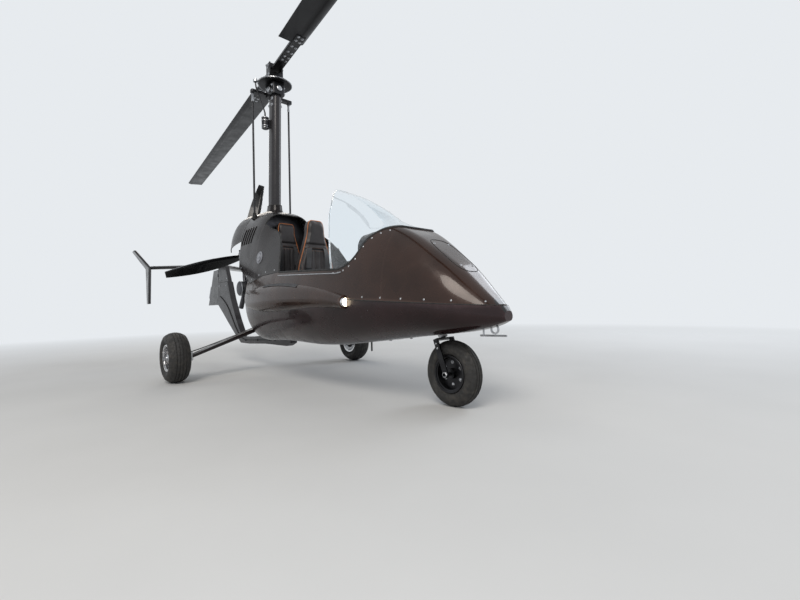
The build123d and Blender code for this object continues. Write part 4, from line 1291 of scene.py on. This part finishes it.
def head_fittings():
    """Bolts through the mast top and head, gimbal caps, and the drive pinion below the ring gear."""
    places = []
    for hand in (1, -1):
        for x, z in ((-0.030, 2.530), (0.026, 2.530), (-0.034, 2.475), (0.022, 2.475)):
            hit, normal = flank("mast", x, z, hand)
            if hit is not None:
                places.append((hit, normal))
        for x, z in ((-0.045, 2.640), (0.060, 2.640), (0.060, 2.582)):
            places.append((Vector((x, hand * HEAD_HALF[1], z)), hand * Y))
    fasteners("head_bolts", places, 0.0085)
    caps = bmesh.new()
    for hand in (1, -1):
        turned(caps, [(0.026, -0.002), (0.026, 0.010), (0.022, 0.014), (0.010, 0.014), (0.009, 0.010)],
               axis((0.010, hand * HEAD_HALF[1], HEAD_MID), hand * Y), 36)
    turned(caps, [(0.024, -0.002), (0.024, 0.010), (0.019, 0.014)], axis((HEAD_HALF[0], 0, HEAD_MID), X), 36)
    solid("gimbal_caps", caps, STEEL)
    shaft_top = Vector((-0.0432, -0.1700, 2.664))
    pinion = [(0.017, 0.0), (0.021, 0.002), (0.021, 0.022), (0.017, 0.024), (0.010, 0.024), (0.010, 0.036)]
    lathe("drive_pinion", STEEL, pinion, axis(shaft_top, Z), 18, bevel=0.001)
    drive = bmesh.new()
    motor = Vector((mast_at(2.300).x - 0.010, -0.092, 2.300))
    turned(drive, [(0.026, -0.056), (0.0322, -0.050), (0.0322, 0.050), (0.026, 0.056), (0.010, 0.057),
                   (0.007, 0.060), (0.007, 0.100)], axis(motor, Z), 36)
    block(drive, motor + Vector((0, 0.040, 0)), (0.030, 0.030, 0.070))
    solid("spin_drive", drive, BLACK_STEEL, bevel=0.001)
    shaft = [motor + 0.09 * Z, motor + Vector((-0.006, -0.020, 0.20)), shaft_top - 0.10 * Z,
             shaft_top + 0.010 * Z]
    tube("spin_shaft", shaft, 0.0065, BLACK_STEEL, smooth=True)
    band = [(0.0325, -0.003), (0.0340, -0.002), (0.0340, 0.002), (0.0325, 0.003)]
    spots = [axis(motor + shift * Z, Z) for shift in (-0.048, -0.030, 0.020, 0.048)]
    lathe("motor_bands", STEEL, band, spots, 36)


def rotor_fittings():
    """Ring-gear teeth, nuts of the teeter bolt, and the blade bolts, edge strips and tip caps."""
    span = Matrix.Rotation(AZIMUTH, 4, "Z")
    tooth, size = Matrix.Translation((RING_RADIUS + 0.002, 0, RING_Z)), (0.010, 0.0062, 0.0105)
    teeth = [(Matrix.Rotation(turn, 4, "Z") @ tooth, size) for turn in around(RING_TEETH)]
    boxes("ring_teeth", STEEL, teeth, "rotor_shaft", 0.0008)
    web = [(span @ Vector((0.118 * cos(a), 0.118 * sin(a), RING_Z + 0.006)), Z) for a in around(8)]
    fasteners("ring_bolts", web, 0.006, "rotor_shaft")
    nuts = [(span @ Vector((0, hand * 0.064, TEETER_Z)), span @ (hand * Y)) for hand in (1, -1)]
    fasteners("teeter_nuts", nuts, 0.0135, "rotor_shaft")
    cheek = [(span @ Vector((x, hand * 0.064, 2.750)), span @ (hand * Y))
             for hand in (1, -1) for x in (-0.026, 0.026)]
    fasteners("tower_bolts", cheek, 0.008, "rotor_shaft")
    places = []
    for end in (1, -1):
        for reach in (0.240, 0.300, 0.380, 0.470, 0.560, 0.615):
            for up in (1, -1):
                point = Vector((end * reach, 0.018 * end, ROTOR_Z + up * STRAP_TOP))
                places.append((span @ point, up * Z))
                places.append((span @ Vector((end * (reach + 0.012), -0.020 * end, point.z)), up * Z))
    fasteners("blade_bolts", places, 0.0075, "rotor")
    bar = [(span @ Vector((end * reach, y, ROTOR_Z + 0.009)), Z)
           for end in (1, -1) for reach in (0.055, 0.100) for y in (-0.026, 0.026)]
    fasteners("bar_bolts", bar, 0.0075, "rotor")
    for end, name in ((1, "aft"), (-1, "fore")):
        strip = bmesh.new()
        blade = nodes[f"rotor_blade_{name}"]
        for up in (1, -1):
            start = Vector((0, end * (LEAD - 0.012), ROTOR_Z + 0.1 * up))
            path = [cast(blade, span @ (start + end * reach * X), -up * Z)
                    for reach in between(0.68, BLADE_TIP - 0.040, 24)]
            ribbon(strip, path, 0.020, 0.0006)
        solid(f"blade_edge_{name}", strip, BLACK_STEEL, "rotor")
        tip = span @ Matrix.Translation((end * (BLADE_TIP - 0.011), end * (LEAD - 0.5 * CHORD), ROTOR_Z))
        boxes(f"blade_cap_{name}", BLACK_STEEL, [(tip, (0.020, CHORD * 0.94, 0.010))], "rotor", 0.002)


# Engine and propeller
def cylinder_fins():
    """Cooling fins on the cylinders, rocker covers with their bolts and the plugs."""
    fins, covers, places, plugs = bmesh.new(), bmesh.new(), [], bmesh.new()
    case = bmesh.new()
    block(case, (-0.3775, 0, ENGINE_Z), (0.325, 0.190, 0.200))
    block(case, (-0.370, 0, ENGINE_Z + 0.130), (0.235, 0.130, 0.060))
    block(case, (-0.560, 0, ENGINE_Z + 0.010), (0.060, 0.150, 0.150))
    for x, hand, _ in CYLINDERS:
        block(case, (x, hand * 0.149, ENGINE_Z), (0.112, 0.028, 0.120))
        turned(case, [(0.050, 0.0), (0.050, 0.062)], axis((x, hand * 0.085, ENGINE_Z), hand * Y), 36)
    made = solid("engine_case", case, DARK_METAL, bevel=0.006)
    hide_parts("engine_block")
    box = [(0.070, 0.0), (0.082, 0.006), (0.082, 0.120), (0.074, 0.130), (0.040, 0.131), (0.036, 0.135)]
    lathe("gearbox", DARK_METAL, box, axis((-0.560, 0, PROP.z), -X), 56)
    finned = []
    for step in range(7):
        low = 0.0008 + 0.0058 * step
        finned += [(0.051, low), (0.0605, low + 0.0012), (0.0605, low + 0.0028), (0.051, low + 0.0038)]
    for x, hand, _ in CYLINDERS:
        turned(fins, finned, axis((x, hand * 0.097, ENGINE_Z), hand * Y), 40)
        face = Vector((x, hand * 0.165, ENGINE_Z))
        block(covers, face + hand * 0.009 * Y, (0.088, 0.022, 0.094))
        places += [(face + Vector((dx, hand * 0.020, dz)), hand * Y)
                   for dx in (-0.032, 0.032) for dz in (-0.036, 0.036)]
        turned(plugs, [(0.008, 0), (0.010, 0.004), (0.010, 0.020), (0.006, 0.026), (0.006, 0.040)],
               axis((x + 0.030, hand * 0.150, ENGINE_Z + 0.058), hand * 0.3 * Y + Z), 12)
    solid("cylinder_fins", fins, ALUMINIUM)
    solid("rocker_covers", covers, ALUMINIUM, bevel=0.007)
    fasteners("rocker_bolts", places, 0.0042)
    solid("spark_plugs", plugs, TRIM)


def engine_lines():
    """Intake pipes, plug leads, coolant hoses and the carburettors."""
    for x, hand, name in CYLINDERS:
        top = Vector((x - 0.010, hand * 0.058, 1.262))
        path = [top, top + Vector((0, hand * 0.035, 0.010)), top + Vector((0, hand * 0.085, -0.020)),
                Vector((x - 0.010, hand * 0.150, ENGINE_Z + 0.062))]
        tube(f"intake_{name}", path, 0.0155, ALUMINIUM, smooth=True)
        lead = [Vector((x + 0.030, hand * 0.160, ENGINE_Z + 0.096)), Vector((x + 0.050, hand * 0.165, 1.250)),
                Vector((-0.300, hand * 0.110, 1.300)), Vector((-0.275, hand * 0.050, 1.283))]
        tube(f"plug_lead_{name}", lead, 0.0038, TRIM, smooth=True)
    barrel = [(0.020, 0.0), (0.024, 0.004), (0.024, 0.030), (0.019, 0.034), (0.030, 0.044), (0.030, 0.070),
              (0.026, 0.074)]
    mouths = [axis((-0.495, hand * 0.042, 1.250), -X) for hand in (1, -1)]
    lathe("carburettors", ALUMINIUM, barrel, mouths, 28)
    for hand, side in HANDS:
        path = [Vector((-0.235, hand * 0.080, 1.060)), Vector((-0.185, hand * 0.150, 1.050)),
                Vector((-0.100, hand * 0.165, 1.000)), Vector((-0.020, hand * 0.150, 0.960)),
                Vector((0.068, hand * 0.140, 0.950))]
        tube(f"coolant_pipe_{side}", path, 0.0135, TRIM, smooth=True)


def engine_shell():
    """Gearbox flange and starter, muffler seams and flanges of the exhaust pipes."""
    gear = bmesh.new()
    for start, radius in ((-0.574, 0.090), (-0.676, 0.086)):
        turned(gear, [(radius - 0.006, -0.006), (radius, -0.004), (radius, 0.006), (radius - 0.006, 0.008)],
               axis((start, 0, PROP.z), -X), 48)
    starter = [(0.030, 0), (0.032, 0.004), (0.032, 0.085), (0.026, 0.092)]
    turned(gear, starter, axis((-0.520, -0.070, 1.030), -X), 28)
    solid("gearbox_rings", gear, ALUMINIUM)
    places = [(Vector((-0.581, 0.078 * cos(a), PROP.z + 0.078 * sin(a))), -X) for a in around(10)]
    fasteners("gearbox_bolts", places, 0.0048)
    drum = [(0.050, -0.220), (0.064, -0.216), (MUFFLER_RADIUS, -0.206), (MUFFLER_RADIUS, 0.206),
            (0.064, 0.216), (0.050, 0.220)]
    lathe("muffler", DARK_METAL, drum, axis(MUFFLER, Y), 48)
    can = bmesh.new()
    for x, hand, name in CYLINDERS:
        end_x = 0.4 * x + 0.6 * MUFFLER.x
        pipe = [Vector((x, hand * 0.145, ENGINE_Z - 0.058)), Vector((x, hand * 0.150, 0.980)),
                Vector((x - 0.020, hand * 0.150, 0.900)), Vector((end_x, hand * 0.150, 0.835))]
        tube(f"exhaust_{name}", pipe, 0.0165, DARK_METAL, smooth=True)
    tail = [MUFFLER + Vector((-0.030, -0.150, -0.050)), MUFFLER + Vector((-0.060, -0.155, -0.110)),
            MUFFLER + Vector((-0.100, -0.160, -0.190))]
    tube("tailpipe", tail, 0.023, DARK_METAL, smooth=True)
    for y in (-0.205, -0.085, 0.085, 0.205):
        turned(can, [(0.0695, -0.006), (0.0730, -0.004), (0.0730, 0.004), (0.0695, 0.006)],
               axis(MUFFLER + y * Y, Y), 48)
    for x, hand, _ in CYLINDERS:
        turned(can, [(0.018, -0.008), (0.027, -0.006), (0.027, 0.002), (0.018, 0.004)],
               axis((x, hand * 0.135, ENGINE_Z - 0.066), Z), 24)
    solid("muffler_bands", can, STEEL)


def propeller_fittings():
    """Hub plate with its bolts, and a guard strip on each blade's leading edge."""
    disc = [(0.070, 0.0), (0.070, 0.006), (0.060, 0.009), (0.022, 0.009), (0.020, 0.014), (0.012, 0.016)]
    lathe("hub_plate", ALUMINIUM, disc, axis(PROP - 0.032 * X, -X), 56, body="propeller")
    places = []
    for step in range(6):
        turn = radians(60 * step + 12)
        places.append((PROP + Vector((-0.041, 0.046 * cos(turn), 0.046 * sin(turn))), -X))
    fasteners("hub_bolts", places, 0.0060, "propeller")
    for index in range(3):
        angle = radians(90 - (PROP_PHASE + 120 * index))
        turn = Matrix.Translation(PROP) @ Matrix.Rotation(angle, 4, "X")
        line = []
        for share in between(0.42, 0.965, 26):
            pitch = radians(30.0 - (share - 0.35) * 27.5 if share < 0.75 else 19.0 - (share - 0.75) * 20.0)
            lead = Vector((sin(pitch), cos(pitch), 0))
            middle = Vector((0, 0, share * PROP_RADIUS))
            start, end = turn @ (middle + 0.2 * lead), turn @ middle
            hit, _ = cast(nodes[f"prop_blade_{index + 1}"], start, end - start)
            if hit is not None:
                line.append(hit)
        tube(f"prop_edge_{index + 1}", line, 0.0022, STEEL, "propeller")


# Tail
def tail_fittings():
    """Bolts of the tailplane, rudder tab and hinge caps, clipped control sleeve along the boom."""
    places = [from_above("stabiliser", x, y) for x in (-1.42, -1.50) for y in (-0.040, 0.040)]
    for hand in (1, -1):
        places += [from_above("stabiliser", x, hand * 0.605) for x in (-2.03, -2.12)]
        for node, z in (("tail_fin", 0.94), ("tail_boom", 0.86)):
            places += [flank(node, x, z, hand) for x in (-1.28, -1.50)]
    fasteners("tail_bolts", [p for p in places if p[0] is not None], 0.0065)
    joint = bmesh.new()
    for hand in (1, -1):
        path = [(flank("tail_fin", x, 0.903, hand)[0], hand * Y) for x in between(-1.245, -1.550, 8)]
        ribbon(joint, path, 0.006, 0.0012)
    solid("fin_joint", joint, TRIM)
    trailing, _ = cast(nodes["rudder"], (-3, 0, 0.80), (1, 0, 0))
    at = Matrix.Translation((trailing.x - 0.012, 0, 0.80)) @ Matrix.Rotation(0.48, 4, "Y")
    boxes("rudder_tab", ALUMINIUM, [(at, (0.034, 0.0016, 0.16))], "rudder")
    ends = [axis((-1.585, 0, z + up * 0.013), up * Z) for z in (0.710, 0.996) for up in (1, -1)]
    lathe("hinge_caps", STEEL, [(0.0085, 0), (0.0085, 0.003), (0.006, 0.0045)], ends, 20)
    route = [(-0.030, 0.277), (-0.250, 0.277), (-0.645, 0.253), (-0.860, 0.253), (-1.030, 0.390),
             (-1.200, 0.590), (-1.330, 0.680), (-1.480, 0.740)]
    for hand, side in HANDS:
        sleeve = [Vector((x, hand * 0.0355, z)) for x, z in route]
        tube(f"rudder_sleeve_{side}", sleeve, 0.0042, TRIM, smooth=True)
    clips = [((x, hand * 0.035, z), (0.014, 0.012, 0.018))
             for x, z in ((-0.16, 0.277), (-0.44, 0.266), (-0.74, 0.253)) for hand in (1, -1)]
    boxes("boom_clips", BLACK_STEEL, clips, bevel=0.002)


# Wheels and gear
def tyre_profile(radius, width, rim):
    """Section of a ribbed tyre as (radius, distance across), inside the plain tyre's outline."""
    half, shoulder = width / 2, radius - 0.014
    wall = rim + 0.48 * (radius - rim)
    tread = arc((shoulder, -half * 0.66), (radius, 0), (shoulder, half * 0.66), 41)
    grooves = [share * half for share in (-0.42, -0.14, 0.14, 0.42)]
    crown = []
    for r, t in tread:
        near = min(abs(t - g) for g in grooves)
        if near > 0.0036:
            crown.append((r, t))
    for g in grooves:
        r = min(tread, key=lambda pair: abs(pair[1] - g))[0]
        crown += [(r, g - 0.0032), (r - 0.0045, g - 0.0024), (r - 0.0045, g + 0.0024), (r, g + 0.0032)]
    crown.sort(key=lambda pair: pair[1])
    side = arc((shoulder, half * 0.66), (wall, half), (rim + 0.006, half * 0.70), 15)[1:]
    side = [(r, t - (0.0012 if i in (3, 4, 9) else 0.0)) for i, (r, t) in enumerate(side)]
    foot = [(rim - 0.003, half * 0.60)]
    outer = crown + side + foot
    left = [(r, -t) for r, t in reversed(side + foot)]
    return outer + left


def wheel(side, centre, radius, width, rim, body):
    """Ribbed tyre, rim bolts, rim lips and valve of one wheel."""
    prefix = "nose" if body == "nose_wheel" else "main"
    tail = "" if prefix == "nose" else f"_{side}"
    tyre = lathe(f"{prefix}_ribbed_tyre{tail}", TYRE, tyre_profile(radius, width, rim), axis(centre, Y), 96,
                 ring=True, body=body)
    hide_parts(f"{prefix}_tyre{tail}")
    places, reach = [], 0.62 * rim
    for hand in (1, -1):
        for step in range(6):
            turn = radians(60 * step + 30)
            spot = centre + Vector((reach * cos(turn), hand * 0.008, reach * sin(turn)))
            places.append((spot, hand * Y))
    fasteners(f"{prefix}_rim_bolts{tail}", places, 0.0055, body)
    lip = [(rim - 0.004, 0.0), (rim + 0.0055, 0.001), (rim + 0.0065, 0.004), (rim + 0.004, 0.006),
           (rim - 0.005, 0.005)]
    edges = [axis(centre + hand * 0.76 * width / 2 * Y, hand * Y) for hand in (1, -1)]
    lathe(f"{prefix}_rim_lip{tail}", CHROME if prefix == "main" else BLACK_STEEL, lip, edges, 72, ring=True,
          body=body)
    out = 1 if centre.y >= 0 else -1
    start = centre + Vector((0, out * 0.010, 0)) + 0.80 * rim * Vector((cos(0.4), 0, sin(0.4)))
    stem = [(0.004, 0), (0.004, 0.018), (0.003, 0.019), (0.003, 0.024)]
    lathe(f"{prefix}_valve{tail}", BLACK_STEEL, stem, axis(start, out * Y), 12, body=body)


def wheels():
    """The three wheels, and the main wheels' hub caps, brake discs and calipers."""
    cap = [(0.030, 0), (0.030, 0.010), (0.026, 0.014), (0.018, 0.015), (0.016, 0.022), (0.010, 0.023)]
    disc = [(0.060, -0.002), (0.086, -0.002), (0.086, 0.002), (0.060, 0.002)]
    for hand, side in HANDS:
        centre, body = mirrored(MAIN, hand), f"main_wheel_{side}"
        wheel(side, centre, MAIN_R, MAIN_WIDTH, MAIN_RIM, body)
        lathe(f"hub_cap_{side}", STEEL, cap, axis(centre + hand * 0.044 * Y, hand * Y), 36, body=body)
        inner = centre - hand * 0.0565 * Y
        lathe(f"brake_disc_{side}", STEEL, disc, axis(inner, Y), 64, ring=True, body=body)
        halves = [(centre + Vector((-0.058, -hand * 0.0640, 0.028)), (0.030, 0.010, 0.050)),
                  (centre + Vector((-0.044, -hand * 0.0740, 0.028)), (0.058, 0.014, 0.050))]
        boxes(f"brake_caliper_{side}", BLACK_STEEL, halves, bevel=0.003)
    wheel("", NOSE, NOSE_R, NOSE_WIDTH, NOSE_RIM, "nose_wheel")


def gear_fittings():
    """Brake hoses along the legs, root clamps, axle bolts, and the fork's bolts and nuts."""
    for hand, side in HANDS:
        route = [(-0.265, 0.060, 0.420), (-0.215, 0.300, 0.352), (-0.165, 0.520, 0.290),
                 (-0.125, 0.700, 0.240), (-0.112, 0.775, 0.225), (-0.105, 0.800, 0.228)]
        tube(f"brake_hose_{side}", [mirrored(p, hand) for p in route], 0.0042, TRIM, smooth=True)
        clamps, places = bmesh.new(), []
        for reach in (0.105, 0.155):
            share = reach / 0.758
            centre = mirrored((-0.200 + 0.140 * share, reach, 0.440 - 0.239 * share), hand)
            lean = mirrored((0.140, 0.758, -0.239), hand).normalized()
            up = lean.cross(X).normalized() * hand
            at = framed(centre, X, lean, up)
            block(clamps, at, (0.138, 0.026, 0.052))
            for dx in (-0.048, 0.048):
                places.append((at @ Vector((dx, 0, 0.026)), up))
        solid(f"leg_clamps_{side}", clamps, BLACK_STEEL, bevel=0.004)
        for dx in (-0.024, 0.024):
            for dz in (-0.024, 0.024):
                places.append((mirrored((MAIN.x + dx, 0.758, MAIN.z + dz), hand), -hand * Y))
        fasteners(f"leg_bolts_{side}", places, 0.0065)
    nut = [(0.0105, 0.0), (0.0175, 0.0), (0.0175, 0.008), (0.0150, 0.010), (0.0105, 0.010)]
    ends = [axis(NOSE + hand * 0.0705 * Y, hand * Y) for hand in (1, -1)]
    lathe("nose_axle_nuts", STEEL, nut, ends, 6, ring=True, body="nose_fork")
    steer = Vector((-sin(RAKE), 0, cos(RAKE)))
    ahead = Vector((cos(RAKE), 0, sin(RAKE)))
    places = [(NOSE + up * steer + hand * 0.0705 * Y, hand * Y)
              for hand in (1, -1) for up in (0.150, 0.178)]
    fasteners("fork_bolts", places, 0.0060, "nose_fork")
    plates = [(framed(NOSE + 0.165 * steer + hand * 0.0715 * Y, ahead, Y, steer), (0.030, 0.003, 0.060))
              for hand in (1, -1)]
    boxes("fork_plates", BLACK_STEEL, plates, "nose_fork", 0.001)


# Stage
def floor():
    """Pale floor that fades into the backdrop, so that no horizon shows."""
    bpy.ops.mesh.primitive_circle_add(vertices=96, radius=FLOOR_RADIUS, fill_type="NGON")
    made = bpy.context.object
    made.name = "floor"
    look, tree, shader = material("floor")
    base = ramp(tree, noise(tree, 1.2, 4.0), tint(FLOOR_COLOUR, 0.96), FLOOR_COLOUR)
    feed(tree, shader, Roughness=0.9, Base_Color=base)
    backdrop = add(tree, "ShaderNodeEmission", Color=(*BACKDROP, 1)).outputs["Emission"]
    distance = add(tree, "ShaderNodeVectorMath", place(tree), operation="LENGTH")
    fade = add(tree, "ShaderNodeMapRange", distance.outputs["Value"], 2.6, 9.0, 0.0, 1.0)
    mix = add(tree, "ShaderNodeMixShader", fade.outputs["Result"], shader.outputs["BSDF"], backdrop)
    feed(tree, tree.nodes["Material Output"], Surface=mix.outputs["Shader"])
    made.data.materials.append(look)


def world():
    """Pale even sky: what the camera, glass and gloss see, and a dimmer fill light."""
    made = bpy.data.worlds.new("studio")
    scene.world = made
    made.use_nodes = True
    tree = made.node_tree
    tree.nodes.clear()
    rays = add(tree, "ShaderNodeLightPath").outputs
    seen = add(tree, "ShaderNodeMath", rays["Is Camera Ray"], rays["Is Transmission Ray"],
               operation="MAXIMUM")
    either = add(tree, "ShaderNodeMath", seen.outputs[0], rays["Is Glossy Ray"], operation="MAXIMUM")
    fill = add(tree, "ShaderNodeBackground", (0.86, 0.90, 0.96, 1), 0.55)
    shown = add(tree, "ShaderNodeBackground", (*BACKDROP, 1), 1.0)
    mix = add(tree, "ShaderNodeMixShader", either.outputs[0], fill.outputs[0], shown.outputs[0])
    add(tree, "ShaderNodeOutputWorld", Surface=mix.outputs[0])


def area_light(name, place_at, target, size, power, colour):
    """Round soft light that points at a target."""
    data = bpy.data.lights.new(name, "AREA")
    data.shape, data.size, data.energy, data.color = "DISK", size, power, colour
    made = bpy.data.objects.new(name, data)
    made.location = place_at
    made.rotation_mode = "QUATERNION"
    made.rotation_quaternion = (Vector(target) - Vector(place_at)).to_track_quat("-Z", "Y")
    scene.collection.objects.link(made)


def camera():
    """Camera at the photo's place, turned to its heading, pitch and roll."""
    data = bpy.data.cameras.new("camera")
    data.sensor_width, data.lens = SENSOR_WIDTH, CAMERA_LENS
    made = bpy.data.objects.new("camera", data)
    ahead = Vector((cos(CAMERA_HEADING) * cos(CAMERA_PITCH),
                    sin(CAMERA_HEADING) * cos(CAMERA_PITCH), sin(CAMERA_PITCH)))
    level = Vector((sin(CAMERA_HEADING), -cos(CAMERA_HEADING), 0))
    upright = level.cross(ahead)
    right = cos(CAMERA_ROLL) * level + sin(CAMERA_ROLL) * upright
    up = right.cross(ahead)
    made.matrix_world = framed(CAMERA_PLACE, right, up, -ahead)
    data.clip_end = 200.0
    scene.collection.objects.link(made)
    scene.camera = made


for step in (upper_hull, cowl_shell, hood, windscreen_shell, cockpit_trim, moulding_joint, screen_trim,
             cowl_trim, side_louvres, fuel_cap, nose_details, pod_grips, landing_lights, instruments,
             controls, seats, mast_fittings, head_fittings, rotor_fittings, cylinder_fins, engine_lines,
             engine_shell, propeller_fittings, tail_fittings, wheels, gear_fittings):
    step()
floor()
world()
area_light("key", (5.0, -4.5, 6.0), (0.6, 0, 0.7), 4.0, 330, (1.0, 0.95, 0.88))
area_light("fill", (2.0, 6.5, 4.0), (0.6, 0, 0.7), 4.0, 140, (0.88, 0.93, 1.0))
area_light("rim", (-6.0, 2.0, 5.0), (0, 0, 1.0), 3.0, 90, (1.0, 0.92, 0.82))
camera()
scene.view_settings.view_transform = "Standard"

bpy.context.view_layer.update()
